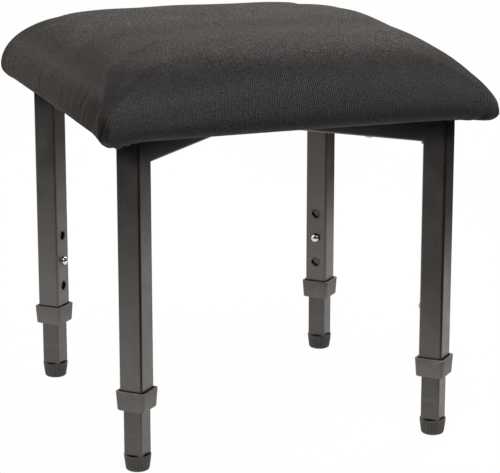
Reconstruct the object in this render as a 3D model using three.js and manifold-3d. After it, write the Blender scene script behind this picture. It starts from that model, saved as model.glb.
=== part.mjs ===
// A square padded stool on four telescopic legs, in millimetres, +Z up.
// The origin is on the floor under the middle of the seat, with the legs at their middle setting.
// Front is -Y and right is +X. The legs stand on the corners of a square, each turned 45 degrees.

import * as THREE from 'three';
import { mergeVertices } from 'three/addons/utils/BufferGeometryUtils.js';
import Module from 'manifold-3d';

const wasm = await Module();
wasm.setup();

// Clearances
const fitGap = 0.3;
const cutOverrun = 1;

// Frame tubes: the outer legs and the crossed rails are the same square tube
const tubeWidth = 25;
const tubeWall = 1.2;
const tubeCornerRadius = 2;
const tubeBoreCornerRadius = 0.8;
const legSpacing = 317.4;
const frameTopHeight = 332.3;

// Inner legs
const innerTubeWidth = 20;
const innerTubeWall = 1.5;
const innerTubeCornerRadius = 1.5;
const innerBoreCornerRadius = 0.6;
const innerLegLength = 190;

// Height setting: a row of holes in the inward face of each outer leg
const settingPitch = 28.5;
const middleHoleHeight = 134.2;
const settingHoleDiameter = 10;
const settingCount = 3;

// Snap button with its flange and rivet tail, and the folded strip spring behind it
const buttonDiameter = 9.2;
const buttonProtrusion = 5.5;
const buttonDomeHeight = 3.4;
const buttonCrownDiameter = 3;
const buttonFlangeDiameter = 12;
const buttonFlangeThickness = 1;
const buttonTailDiameter = 4;
const buttonTailLength = 1.6;
const springThickness = 0.6;
const springWidth = 9;
const springArmLength = 44;
const springPadLength = 14;
const springBendWidth = 5;

// Collar at the lower end of each outer leg: a cup outside the tube and a sleeve inside it
const collarBottomHeight = 63.2;
const collarHeight = 20;
const collarTopWidth = 31.6;
const collarBottomWidth = 29.6;
const collarCornerRadius = 3;
const collarEdgeRadius = 1.6;
const collarRimWall = 2;
const collarFloorThickness = 3;
const collarSleeveHeight = 20;

// Foot: a ribbed round base with a square plug
const footHeight = 16.5;
const footTopDiameter = 27;
const footLowerDiameter = 23.8;
const footContactDiameter = 17;
const footEdgeHeight = 2.8;
const footLedgeHeight = 1.8;
const footRibDepth = 0.8;
const footRibCount = 24;
const footPlugHeight = 18;
const footPlugChamfer = 1.4;

// Seat: fabric cover round a foam pad on a plywood board
const padWidth = 402;
const padCornerRadius = 9;
const padDrawIn = 3;
const padLowerHeight = 17.4;
const padLowerInset = 21.9;
const padCrownHeight = 66;
const padCornerDrop = 14;
const coverThickness = 1.5;
const coverMargin = 49;
const boardThickness = 12;
const boardCornerRadius = 12;
const boardEdgeRadius = 3;

// Shape of the crown: how square its section is, and how fast its corners round off going up
const crownSidePower = 4.67;
const crownTopPower = 1.93;
const crownCornerShare = 1.09;
const cornerDropPower = 5.84;

// Screws up through the rails into the board
const screwSpacing = 212;
const screwShankDiameter = 5;
const screwHeadDiameter = 10.5;
const screwHeadHeight = 3.2;
const screwDepthInBoard = 9;
const screwTipLength = 3;

// Facets
const tubeCornerSteps = 3;
const roundSteps = 24;
const padCornerSteps = 4;
const padSideSteps = 8;
const edgeSteps = 3;
const lowerSteps = 3;
const crownAngles = [8, 18, 30, 44, 58, 72, 83];

// Derived sizes and places
const quarterTurn = Math.PI / 2;
const legOffset = legSpacing / 2;
const legReach = legOffset * Math.SQRT2;
const tubeHalf = tubeWidth / 2;
const tubeBore = tubeWidth - 2 * tubeWall;
const innerHalf = innerTubeWidth / 2;
const innerBore = innerTubeWidth - 2 * innerTubeWall;
const outerLegBottom = collarBottomHeight + collarFloorThickness + fitGap;
const innerLegBottom = footHeight + fitGap;
const seatUnderside = frameTopHeight + fitGap;
const boardBottom = seatUnderside + coverThickness + fitGap;
const screwReach = (screwSpacing / 2) * Math.SQRT2;
const underWidth = padWidth - 2 * (padLowerInset + padDrawIn);
const boardWidth = underWidth + 2 * boardEdgeRadius;

// Finishes
function finish(name, color, roughness, metalness) {
  return new THREE.MeshStandardMaterial({ name, color, roughness, metalness });
}
const blackPaint = () => finish('black powder coat', 0x2e2c2a, 0.45, 0.1);
const blackPlastic = () => finish('black plastic', 0x2b2a29, 0.6, 0);
const darkFabric = () => finish('charcoal ribbed fabric', 0x2c2a2a, 0.95, 0);
const paleFoam = () => finish('upholstery foam', 0xd8cfae, 1, 0);
const plywood = () => finish('plywood', 0xb58e5f, 0.8, 0);
const brightNickel = () => finish('bright nickel', 0xc9c6c0, 0.22, 1);
const springSteel = () => finish('spring steel', 0x8c8b88, 0.35, 1);
const zincSteel = () => finish('zinc plated steel', 0xa9a9a4, 0.4, 1);

// A geometry as a solid that can be cut and joined
function solid(geometry) {
  geometry.deleteAttribute('normal');
  geometry.deleteAttribute('uv');
  const merged = mergeVertices(geometry);
  return new wasm.Manifold(new wasm.Mesh({
    numProp: 3,
    vertProperties: Float32Array.from(merged.attributes.position.array),
    triVerts: Uint32Array.from(merged.index.array),
  }));
}

// A solid as a geometry that can be shown
function surface(body) {
  const mesh = body.getMesh();
  const geometry = new THREE.BufferGeometry();
  geometry.setAttribute('position', new THREE.BufferAttribute(mesh.vertProperties, 3));
  geometry.setIndex(new THREE.BufferAttribute(mesh.triVerts, 1));
  geometry.computeVertexNormals();
  return geometry;
}

// A closed skin over rings of points that climb in Z, counterclockwise from above.
// Its caps are fans to a middle point, level with the end rings unless a height is given.
function skin(rings, topMiddle = rings.at(-1)[0][2]) {
  const count = rings[0].length;
  const bottomMiddle = rings[0][0][2];
  const points = [...rings.flat(), [0, 0, bottomMiddle], [0, 0, topMiddle]];
  const bottom = points.length - 2;
  const top = points.length - 1;
  const last = (rings.length - 1) * count;
  const faces = [];
  for (let i = 0; i < count; i += 1) {
    const next = (i + 1) % count;
    for (let base = 0; base < last; base += count) {
      faces.push(base + i, base + next, base + next + count);
      faces.push(base + i, base + next + count, base + i + count);
    }
    faces.push(bottom, next, i);
    faces.push(top, last + i, last + next);
  }
  const geometry = new THREE.BufferGeometry();
  geometry.setAttribute('position', new THREE.Float32BufferAttribute(points.flat(), 3));
  geometry.setIndex(faces);
  return geometry;
}

// One ring of a square with round corners, at one height
function squareRing(width, cornerRadius, height) {
  const ring = [];
  const reach = width / 2 - cornerRadius;
  for (const [x, y] of [[1, 1], [-1, 1], [-1, -1], [1, -1]]) {
    const start = Math.atan2(y, x) - quarterTurn / 2;
    for (let step = 0; step <= tubeCornerSteps; step += 1) {
      const angle = start + (step / tubeCornerSteps) * quarterTurn;
      ring.push([
        x * reach + cornerRadius * Math.cos(angle),
        y * reach + cornerRadius * Math.sin(angle),
        height,
      ]);
    }
  }
  return ring;
}

function squareBar(width, cornerRadius, bottom, top) {
  return solid(skin([
    squareRing(width, cornerRadius, bottom),
    squareRing(width, cornerRadius, top),
  ]));
}

function squareTube(width, cornerRadius, bore, boreCornerRadius, bottom, top) {
  const outside = squareBar(width, cornerRadius, bottom, top);
  return outside.subtract(
    squareBar(bore, boreCornerRadius, bottom - cutOverrun, top + cutOverrun),
  );
}

// A round pin along +X between two distances, at a height
function crossPin(diameter, from, to, height) {
  const geometry = new THREE.CylinderGeometry(diameter / 2, diameter / 2, to - from, roundSteps);
  geometry.rotateZ(-quarterTurn);
  geometry.translate((from + to) / 2, 0, height);
  return solid(geometry);
}

// Outer leg, standing at its own place with +X towards the middle of the stool
function outerLeg() {
  let leg = squareTube(
    tubeWidth, tubeCornerRadius, tubeBore, tubeBoreCornerRadius, outerLegBottom, frameTopHeight,
  );
  for (let setting = 0; setting < settingCount; setting += 1) {
    const height = middleHoleHeight + (setting - (settingCount - 1) / 2) * settingPitch;
    leg = leg.subtract(crossPin(settingHoleDiameter, 0, tubeHalf + cutOverrun, height));
  }
  return surface(leg);
}

// Inner leg: the smaller tube, with one hole for its snap button
function innerLeg() {
  const tube = squareTube(
    innerTubeWidth, innerTubeCornerRadius, innerBore, innerBoreCornerRadius,
    innerLegBottom, innerLegBottom + innerLegLength,
  );
  return surface(tube.subtract(
    crossPin(settingHoleDiameter, 0, innerHalf + cutOverrun, middleHoleHeight),
  ));
}

// Snap button: a turned pin with a domed end, a flange behind the inner wall and a rivet tail
const flangeFace = innerBore / 2 - fitGap;
const buttonReach = tubeHalf + buttonProtrusion;
const flangeBack = flangeFace - buttonFlangeThickness;
function snapButton() {
  const profile = new THREE.Path();
  profile.moveTo(0, flangeBack - buttonTailLength);
  profile.lineTo(buttonTailDiameter / 2, flangeBack - buttonTailLength);
  profile.lineTo(buttonTailDiameter / 2, flangeBack);
  profile.lineTo(buttonFlangeDiameter / 2, flangeBack);
  profile.lineTo(buttonFlangeDiameter / 2, flangeFace);
  profile.lineTo(buttonDiameter / 2, flangeFace);
  profile.lineTo(buttonDiameter / 2, buttonReach - buttonDomeHeight);
  profile.quadraticCurveTo(
    buttonDiameter / 2, buttonReach, buttonCrownDiameter / 2, buttonReach,
  );
  profile.lineTo(0, buttonReach);
  const geometry = new THREE.LatheGeometry(profile.getPoints(edgeSteps + 1), roundSteps);
  geometry.rotateZ(-quarterTurn);
  geometry.translate(0, 0, middleHoleHeight);
  return surface(solid(geometry));
}

// Snap spring: a strip folded into a narrow V. One arm carries the button's tail behind its
// flange, and the other rests on the far wall of the inner leg.
function snapSpring() {
  const nearFace = flangeBack - fitGap;
  const farFace = innerBore / 2 - fitGap;
  const half = springBendWidth / 2;
  const bendTop = middleHoleHeight - springArmLength + half;
  const padBottom = middleHoleHeight - springPadLength / 2;
  const padTop = middleHoleHeight + springPadLength / 2;
  const outline = new THREE.Shape();
  outline.moveTo(nearFace, padTop);
  outline.lineTo(nearFace - springThickness, padTop);
  outline.lineTo(nearFace - springThickness, padBottom);
  outline.lineTo(half - springThickness, bendTop);
  outline.absarc(0, bendTop, half - springThickness, 0, -Math.PI, true);
  outline.lineTo(springThickness - farFace, padBottom);
  outline.lineTo(springThickness - farFace, padTop);
  outline.lineTo(-farFace, padTop);
  outline.lineTo(-farFace, padBottom);
  outline.lineTo(-half, bendTop);
  outline.absarc(0, bendTop, half, -Math.PI, 0, false);
  outline.lineTo(nearFace, padBottom);
  outline.closePath();
  const geometry = new THREE.ExtrudeGeometry(outline, {
    depth: springWidth, bevelEnabled: false, curveSegments: roundSteps / 3,
  });
  geometry.rotateX(quarterTurn);
  geometry.translate(0, springWidth / 2, 0);
  const tailHole = crossPin(
    buttonTailDiameter + 2 * fitGap, 0, flangeFace, middleHoleHeight,
  );
  return surface(solid(geometry).subtract(tailHole));
}

// Collar: a tapered cup with a round lower edge, and a sleeve up inside the outer leg
function collar() {
  const rings = [];
  for (let step = 0; step <= edgeSteps; step += 1) {
    const angle = (step / edgeSteps) * quarterTurn;
    const inset = collarEdgeRadius * (1 - Math.sin(angle));
    const height = collarBottomHeight + collarEdgeRadius * (1 - Math.cos(angle));
    rings.push(squareRing(collarBottomWidth - 2 * inset, collarCornerRadius, height));
  }
  const rimHeight = collarBottomHeight + collarHeight;
  rings.push(squareRing(collarTopWidth, collarCornerRadius, rimHeight));
  const floorTop = collarBottomHeight + collarFloorThickness;
  const socket = solid(skin([
    squareRing(tubeWidth + 2 * fitGap, tubeCornerRadius + fitGap, floorTop),
    squareRing(
      collarTopWidth - 2 * collarRimWall, tubeCornerRadius + fitGap, rimHeight + cutOverrun,
    ),
  ]));
  const sleeveTop = floorTop + collarSleeveHeight;
  const sleeve = squareBar(
    tubeBore - 2 * fitGap, tubeBoreCornerRadius, floorTop - cutOverrun, sleeveTop,
  );
  const bore = squareBar(
    innerTubeWidth + 2 * fitGap, innerTubeCornerRadius + fitGap,
    collarBottomHeight - cutOverrun, sleeveTop + cutOverrun,
  );
  return surface(solid(skin(rings)).subtract(socket).add(sleeve).subtract(bore));
}

// One ring of the foot's ribbed base: ridges and grooves in turn
function footRing(diameter, ribDepth, height) {
  const ring = [];
  for (let i = 0; i < 2 * footRibCount; i += 1) {
    const angle = (i / footRibCount) * Math.PI;
    const radius = diameter / 2 - (i % 2) * ribDepth;
    ring.push([radius * Math.cos(angle), radius * Math.sin(angle), height]);
  }
  return ring;
}

// Foot: the base tapers down to a rounded edge, and its plug goes up into the inner leg
function foot() {
  const ribTop = footHeight - footLedgeHeight;
  const edgeMiddle = footEdgeHeight / 3;
  const middleDiameter = (footContactDiameter + 2 * footLowerDiameter) / 3;
  const base = solid(skin([
    footRing(footContactDiameter, 0, 0),
    footRing(middleDiameter, footRibDepth / 2, edgeMiddle),
    footRing(footLowerDiameter, footRibDepth, footEdgeHeight),
    footRing(footTopDiameter, footRibDepth, ribTop),
    footRing(footTopDiameter, 0, ribTop),
    footRing(footTopDiameter, 0, footHeight),
  ]));
  const plugWidth = innerBore - 2 * fitGap;
  const plugTop = footHeight + footPlugHeight;
  const plug = solid(skin([
    squareRing(plugWidth, innerBoreCornerRadius, footHeight - cutOverrun),
    squareRing(plugWidth, innerBoreCornerRadius, plugTop - footPlugChamfer),
    squareRing(plugWidth - 2 * footPlugChamfer, innerBoreCornerRadius, plugTop),
  ]));
  return surface(base.add(plug));
}

// Rail: square tube along +X between two distances, with holes for its seat screws
function rail(from, to, screwPlaces) {
  const geometry = surface(squareTube(
    tubeWidth, tubeCornerRadius, tubeBore, tubeBoreCornerRadius, from, to,
  ));
  geometry.rotateY(quarterTurn);
  geometry.translate(0, 0, frameTopHeight - tubeHalf);
  let tube = solid(geometry);
  for (const place of screwPlaces) {
    const hole = new THREE.CylinderGeometry(
      screwShankDiameter / 2 + fitGap, screwShankDiameter / 2 + fitGap,
      tubeWidth + 2 * cutOverrun, roundSteps / 2,
    );
    hole.rotateX(quarterTurn);
    hole.translate(place, 0, frameTopHeight - tubeHalf);
    tube = tube.subtract(solid(hole));
  }
  return surface(tube);
}

// Seat screw: a pan head under the rail, with its shank up into the board
function seatScrew() {
  const headTop = frameTopHeight - tubeWidth - fitGap;
  const tip = boardBottom + screwDepthInBoard;
  const profile = new THREE.Path();
  profile.moveTo(0, headTop - screwHeadHeight);
  profile.quadraticCurveTo(
    screwHeadDiameter / 2, headTop - screwHeadHeight, screwHeadDiameter / 2, headTop,
  );
  profile.lineTo(screwShankDiameter / 2, headTop);
  profile.lineTo(screwShankDiameter / 2, tip - screwTipLength);
  profile.lineTo(0, tip);
  const geometry = new THREE.LatheGeometry(profile.getPoints(edgeSteps + 1), roundSteps / 2);
  geometry.rotateX(quarterTurn);
  return surface(solid(geometry));
}

// One ring of the pad: a square with round corners whose sides draw in between them
function padRing(width, cornerRadius, drawIn, heightAt) {
  const ring = [];
  const reach = width / 2 - cornerRadius;
  for (let side = 0; side < 4; side += 1) {
    const turn = side * quarterTurn;
    const points = [];
    for (let step = 1; step < padSideSteps; step += 1) {
      const along = 2 * (step / padSideSteps) - 1;
      points.push([width / 2 - drawIn * (1 - along * along), along * reach]);
    }
    for (let step = 0; step <= padCornerSteps; step += 1) {
      const angle = (step / padCornerSteps) * quarterTurn;
      points.push([reach + cornerRadius * Math.cos(angle), reach + cornerRadius * Math.sin(angle)]);
    }
    for (const [out, along] of points) {
      const x = out * Math.cos(turn) - along * Math.sin(turn);
      const y = out * Math.sin(turn) + along * Math.cos(turn);
      ring.push([x, y, heightAt(x, y)]);
    }
  }
  return ring;
}

// The pad's closed form, drawn in all round by an inset: a round lower edge from the flat
// underside out to the widest line, then the crown, which is lower towards the corners.
function padForm(inset) {
  const width = padWidth - 2 * inset;
  const cornerRadius = padCornerRadius - inset;
  const lowerInset = padLowerInset - inset;
  const widest = seatUnderside + padLowerHeight;
  const rings = [];
  for (let step = 0; step <= lowerSteps; step += 1) {
    const angle = (1 - step / lowerSteps) * quarterTurn;
    const height = widest - (padLowerHeight - inset) * Math.sin(angle);
    const ringWidth = width - 2 * lowerInset * (1 - Math.cos(angle));
    rings.push(padRing(ringWidth, cornerRadius, padDrawIn, () => height));
  }
  const crown = padCrownHeight - inset;
  for (const degrees of crownAngles) {
    const angle = THREE.MathUtils.degToRad(degrees);
    const spread = Math.cos(angle) ** (2 / crownSidePower);
    const climb = Math.sin(angle) ** (2 / crownTopPower);
    const ringWidth = width * spread;
    const roundOff = cornerRadius * spread + crownCornerShare * (width - ringWidth) / 2;
    const ringRadius = Math.min(roundOff, ringWidth / 2);
    rings.push(padRing(ringWidth, ringRadius, padDrawIn * spread, (x, y) => {
      const across = (1 + Math.abs(x) / (width / 2)) / 2;
      const along = (1 + Math.abs(y) / (width / 2)) / 2;
      return widest + climb * (crown - padCornerDrop * (across * along) ** cornerDropPower);
    }));
  }
  return solid(skin(rings, widest + crown));
}

// Seat board: plywood with eased edges, and blind holes for the screws
function boardSolid(grow) {
  const width = boardWidth + 2 * grow;
  const radius = boardCornerRadius + grow;
  const eased = width - 2 * boardEdgeRadius;
  const bottom = boardBottom - grow;
  const top = boardBottom + boardThickness + grow;
  return solid(skin([
    squareRing(eased, radius, bottom),
    squareRing(width, radius, bottom + boardEdgeRadius),
    squareRing(width, radius, top - boardEdgeRadius),
    squareRing(eased, radius, top),
  ]));
}

function seatBoard() {
  let board = boardSolid(0);
  const depth = screwDepthInBoard + fitGap + cutOverrun;
  for (const turn of [0.5, 1.5, 2.5, 3.5]) {
    const hole = new THREE.CylinderGeometry(
      screwShankDiameter / 2 + fitGap, screwShankDiameter / 2 + fitGap, depth, roundSteps / 2,
    );
    hole.rotateX(quarterTurn);
    hole.translate(
      screwReach * Math.cos(turn * quarterTurn), screwReach * Math.sin(turn * quarterTurn),
      boardBottom - cutOverrun + depth / 2,
    );
    board = board.subtract(solid(hole));
  }
  return surface(board);
}

// Foam: fills the cover and goes down round the edge of the board
function seatFoam() {
  return surface(padForm(coverThickness + fitGap).subtract(boardSolid(fitGap)));
}

// Cover: one skin of fabric over the foam, turned in under the board by its margin
function seatCover() {
  const opening = squareBar(
    padWidth - 2 * coverMargin, boardCornerRadius, seatUnderside - cutOverrun, boardBottom,
  );
  return surface(padForm(0).subtract(padForm(coverThickness)).subtract(opening));
}

// Assembly
function piece(name, geometry, material) {
  const mesh = new THREE.Mesh(geometry, material);
  mesh.name = name;
  return mesh;
}

const stool = new THREE.Group();
stool.add(piece('seat_cover', seatCover(), darkFabric()));
stool.add(piece('seat_foam', seatFoam(), paleFoam()));
stool.add(piece('seat_board', seatBoard(), plywood()));

// The rails cross under the seat: one runs through, and two halves butt against its sides
const railEnd = legReach - tubeHalf - fitGap;
const halfRailStart = tubeHalf + fitGap;
const rails = new THREE.Group();
rails.rotation.z = -quarterTurn / 2;
rails.add(piece('rail_long', rail(-railEnd, railEnd, [-screwReach, screwReach]), blackPaint()));
for (const [name, side] of [['rail_half_right', 1], ['rail_half_left', -1]]) {
  const half = piece(name, rail(halfRailStart, railEnd, [screwReach]), blackPaint());
  half.rotation.z = side * quarterTurn;
  rails.add(half);
}
stool.add(rails);

// Each leg is a group at its corner, with its own +X towards the middle of the stool
for (const [name, x, y] of [
  ['front_left', -1, -1], ['front_right', 1, -1], ['back_left', -1, 1], ['back_right', 1, 1],
]) {
  const leg = new THREE.Group();
  leg.position.set(x * legOffset, y * legOffset, 0);
  leg.rotation.z = Math.atan2(-y, -x);
  leg.add(piece(`outer_leg_${name}`, outerLeg(), blackPaint()));
  leg.add(piece(`collar_${name}`, collar(), blackPlastic()));
  leg.add(piece(`inner_leg_${name}`, innerLeg(), blackPaint()));
  leg.add(piece(`snap_button_${name}`, snapButton(), brightNickel()));
  leg.add(piece(`snap_spring_${name}`, snapSpring(), springSteel()));
  leg.add(piece(`foot_${name}`, foot(), blackPlastic()));
  const screw = piece(`seat_screw_${name}`, seatScrew(), zincSteel());
  screw.position.x = legReach - screwReach;
  leg.add(screw);
  stool.add(leg);
}

export default stool;
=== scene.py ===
"""The looks of a square padded stool on four telescopic legs, dressed round its CAD frame.

All sizes are in metres, in the frame of the CAD model: +Z up, the front is -Y, the right is +X and
the floor is at zero. Each finished piece's object sits at the origin, with its place in its mesh.
"""

import logging
import math
from collections.abc import Sequence
from dataclasses import dataclass, field
from enum import Enum

import bmesh
import bpy
import numpy as np
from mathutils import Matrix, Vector


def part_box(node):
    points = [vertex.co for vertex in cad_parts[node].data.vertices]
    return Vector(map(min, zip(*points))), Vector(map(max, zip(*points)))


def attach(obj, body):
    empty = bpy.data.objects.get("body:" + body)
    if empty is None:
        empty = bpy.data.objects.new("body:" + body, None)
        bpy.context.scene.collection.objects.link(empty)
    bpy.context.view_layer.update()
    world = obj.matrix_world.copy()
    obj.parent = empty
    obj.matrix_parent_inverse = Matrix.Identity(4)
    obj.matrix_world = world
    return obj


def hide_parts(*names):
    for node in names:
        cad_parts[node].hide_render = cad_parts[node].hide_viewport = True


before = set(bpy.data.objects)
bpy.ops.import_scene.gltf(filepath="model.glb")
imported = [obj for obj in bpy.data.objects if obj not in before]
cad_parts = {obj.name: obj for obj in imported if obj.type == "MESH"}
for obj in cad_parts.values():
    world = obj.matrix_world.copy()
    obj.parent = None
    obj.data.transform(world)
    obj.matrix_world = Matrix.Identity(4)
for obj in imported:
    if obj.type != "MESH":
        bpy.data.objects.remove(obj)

Array = np.ndarray
Span = tuple[float, float]
Point = tuple[float, float, float]
Colour = tuple[float, float, float]
Corners = tuple[Point, Point, Point, Point]

QUARTER = math.pi / 2
UP = np.array([0.0, 0.0, 1.0])
FIT_GAP = 0.0003
SEWING_DISTANCE = 2e-6
TINY = 1e-6
WARM_SHINE = (1.0, 0.93, 0.87, 1.0)
log = logging.getLogger("stool")


class Corner(Enum):
    """The four corners of the stool, each with its side of the middle in X and in Y."""

    FRONT_LEFT = (-1, -1)
    FRONT_RIGHT = (1, -1)
    BACK_LEFT = (-1, 1)
    BACK_RIGHT = (1, 1)

    @property
    def label(self) -> str:
        """The corner's name as the CAD nodes write it."""
        return self.name.lower()

    @property
    def inward(self) -> Array:
        """The unit direction from this corner to the middle of the stool."""
        return np.array([-self.value[0], -self.value[1], 0.0]) / math.sqrt(2)


class Slot(Enum):
    """Names for material slots, which the legs list for their pieces."""

    PAINT = "frame_paint"
    PLASTIC = "black_plastic"
    FABRIC = "cover_fabric"
    FOAM = "foam"
    PLYWOOD = "plywood"
    NICKEL = "bright_nickel"
    SPRING = "spring_steel"
    ZINC = "zinc_steel"


# Shader graphs


class Value:
    """A socket's output that can stand in a sum, as a number does."""

    def __init__(self, graph: "Graph", socket: bpy.types.NodeSocket) -> None:
        """Wraps one output socket of a graph."""
        self.graph = graph
        self.socket = socket

    def _math(self, operation: str, *terms: object) -> "Value":
        """A Math node on these terms, which are values or numbers."""
        return self.graph.value("ShaderNodeMath", {"operation": operation}, dict(enumerate(terms)))

    def __add__(self, other: object) -> "Value":
        """This value plus another."""
        return self._math("ADD", self, other)

    __radd__ = __add__

    def __sub__(self, other: object) -> "Value":
        """This value less another."""
        return self._math("SUBTRACT", self, other)

    def __rsub__(self, other: object) -> "Value":
        """Another value less this one."""
        return self._math("SUBTRACT", other, self)

    def __mul__(self, other: object) -> "Value":
        """This value times another."""
        return self._math("MULTIPLY", self, other)

    __rmul__ = __mul__

    def __truediv__(self, other: object) -> "Value":
        """This value over another."""
        return self._math("DIVIDE", self, other)

    def __rtruediv__(self, other: object) -> "Value":
        """Another value over this one."""
        return self._math("DIVIDE", other, self)

    def __gt__(self, other: object) -> "Value":
        """One where this value is the greater, and zero elsewhere."""
        return self._math("GREATER_THAN", self, other)

    def __abs__(self) -> "Value":
        """This value without its sign."""
        return self._math("ABSOLUTE", self)

    def larger(self, other: object) -> "Value":
        """The larger of this value and another."""
        return self._math("MAXIMUM", self, other)

    def sine(self) -> "Value":
        """The sine of this value in radians."""
        return self._math("SINE", self)

    def fraction(self) -> "Value":
        """This value less the whole number below it."""
        return self._math("FRACT", self)

    def ramp(self, low: float, high: float, start: float = 0.0, end: float = 1.0) -> "Value":
        """A smooth climb from start to end as this value goes from low to high.

        Args:
            low: the value at which the climb starts.
            high: the value at which it ends.
            start: the result below low.
            end: the result above high.

        Returns:
            The climb as a value.
        """
        settings = {"interpolation_type": "SMOOTHSTEP"}
        sockets = {0: self, 1: low, 2: high, 3: start, 4: end}
        return self.graph.value("ShaderNodeMapRange", settings, sockets)


class Graph:
    """The node graph of a material or of the world, which has one shader to start with."""

    def __init__(self, owner: bpy.types.Material | bpy.types.World, shader: str, **sockets: object) -> None:
        """Wraps the node tree of its owner.

        Args:
            owner: the material or world.
            shader: the name of its shader's node.
            sockets: the shader's constant sockets, with spaces written as underscores.
        """
        self.owner = owner
        owner.use_nodes = True
        self.tree = owner.node_tree
        self.shader = self.tree.nodes[shader]
        self.drive(**sockets)

    def node(self, kind: str, settings: dict[str, object], sockets: dict[object, object]) -> bpy.types.Node:
        """Adds a node.

        Args:
            kind: the node's type.
            settings: its properties, which are set first.
            sockets: its inputs by name or number, as values to link or constants to set.

        Returns:
            The node.
        """
        made = self.tree.nodes.new(kind)
        for name, value in settings.items():
            setattr(made, name, value)
        for name, value in sockets.items():
            self.feed(made.inputs[name], value)
        return made

    def value(
        self, kind: str, settings: dict[str, object], sockets: dict[object, object], output: int | str = 0,
    ) -> Value:
        """Adds a node as node() does, and gives one of its outputs."""
        return Value(self, self.node(kind, settings, sockets).outputs[output])

    def feed(self, socket: bpy.types.NodeSocket, value: object) -> None:
        """Links a value to an input socket, or sets a constant there."""
        if isinstance(value, Value):
            self.tree.links.new(value.socket, socket)
        else:
            socket.default_value = value

    def drive(self, **sockets: object) -> None:
        """Feeds the shader's sockets, with spaces in their names written as underscores."""
        for socket, value in sockets.items():
            self.feed(self.shader.inputs[socket.replace("_", " ")], value)

    def _stretched(self, at: Value, scale: Point) -> Value:
        """A place stretched by a scale along each axis."""
        return self.value("ShaderNodeMapping", {}, {"Vector": at, "Scale": scale})

    def place(self, *scale: float) -> Value:
        """The place on the object in metres, stretched by a scale along each axis, if one is given."""
        return self._stretched(self.value("ShaderNodeTexCoord", {}, {}, "Object"), scale or (1.0, 1.0, 1.0))

    def cloth(self, layer: str, *scale: float) -> Value:
        """The place on a laid cloth in metres, stretched by a scale, if one is given."""
        return self._stretched(self.value("ShaderNodeUVMap", {"uv_map": layer}, {}), scale or (1.0, 1.0, 1.0))

    def painted(self, layer: str) -> Value:
        """A number that each point of the mesh carries under a name."""
        return self.value("ShaderNodeAttribute", {"attribute_name": layer}, {}, "Fac")

    def seen(self) -> Value:
        """One where a ray comes from the camera, a mirror or a glass, and zero for plain light."""
        rays = self.node("ShaderNodeLightPath", {}, {})
        names = ("Is Camera Ray", "Is Glossy Ray", "Is Transmission Ray")
        eye, mirror, glass = (Value(self, rays.outputs[name]) for name in names)
        return eye.larger(mirror).larger(glass)

    def parts(self, vector: Value) -> tuple[Value, Value, Value]:
        """The X, Y and Z of a vector."""
        node = self.node("ShaderNodeSeparateXYZ", {}, {0: vector})
        return tuple(Value(self, node.outputs[axis]) for axis in range(3))

    def noise(self, at: Value, scale: float, detail: float = 2.0, rough: float = 0.5) -> Value:
        """Cloudy noise about one half, with that many waves to the metre."""
        sockets = {"Vector": at, "Scale": scale, "Detail": detail, "Roughness": rough}
        return self.value("ShaderNodeTexNoise", {}, sockets)

    def cells(self, at: Value, scale: float) -> tuple[Value, Value]:
        """The distance to the nearest of scattered points, and a random number that each has."""
        node = self.node("ShaderNodeTexVoronoi", {}, {"Vector": at, "Scale": scale})
        first, _, _ = self.parts(Value(self, node.outputs["Color"]))
        return Value(self, node.outputs["Distance"]), first

    def specks(self, at: Value, scale: float, rarity: float, fade: Span) -> Value:
        """Scattered round specks.

        Args:
            at: the place.
            scale: how many cells there are to the metre.
            rarity: the share of the cells that hold no speck.
            fade: where in its cell a speck starts to fade and where it ends.

        Returns:
            One on a speck and zero elsewhere.
        """
        distance, chance = self.cells(at, scale)
        return (chance > rarity) * (1 - distance.ramp(*fade))

    def blend(self, share: object, first: object, second: object) -> Value:
        """A colour between two by a share."""
        colours = [(*c, 1.0) if isinstance(c, tuple) else c for c in (first, second)]
        return Value(self, self.node(
            "ShaderNodeMix", {"data_type": "RGBA"}, {0: share, 6: colours[0], 7: colours[1]},
        ).outputs[2])

    def layers(self, colour: object, *laid: tuple[object, Colour]) -> Value:
        """A colour with others laid over it in turn, each as its share and itself."""
        for share, other in laid:
            colour = self.blend(share, colour, other)
        return colour

    def cover(self, share: Value, kind: str, sockets: dict[object, object]) -> None:
        """Lays another shader over this one.

        Args:
            share: how much of the other shader shows.
            kind: the type of its node.
            sockets: that node's inputs.
        """
        under = Value(self, self.shader.outputs[0])
        over = self.value(kind, {}, sockets)
        mix = self.value("ShaderNodeMixShader", {}, {0: share, 1: under, 2: over})
        self.feed(self.tree.nodes["Material Output"].inputs["Surface"], mix)

    def bump(self, height: Value, distance: float) -> None:
        """Roughens the shader's normal by a height of that many metres."""
        sockets = {"Strength": 1.0, "Distance": distance, "Height": height}
        self.drive(Normal=self.value("ShaderNodeBump", {}, sockets))


class Finish(Graph):
    """The node graph of a new material, with one surface shader."""

    def __init__(self, name: str, **sockets: object) -> None:
        """Makes the material under a name, with its shader's constant sockets."""
        super().__init__(bpy.data.materials.new(name), "Principled BSDF", **sockets)

    @property
    def material(self) -> bpy.types.Material:
        """The material itself."""
        return self.owner


# Finishes


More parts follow.
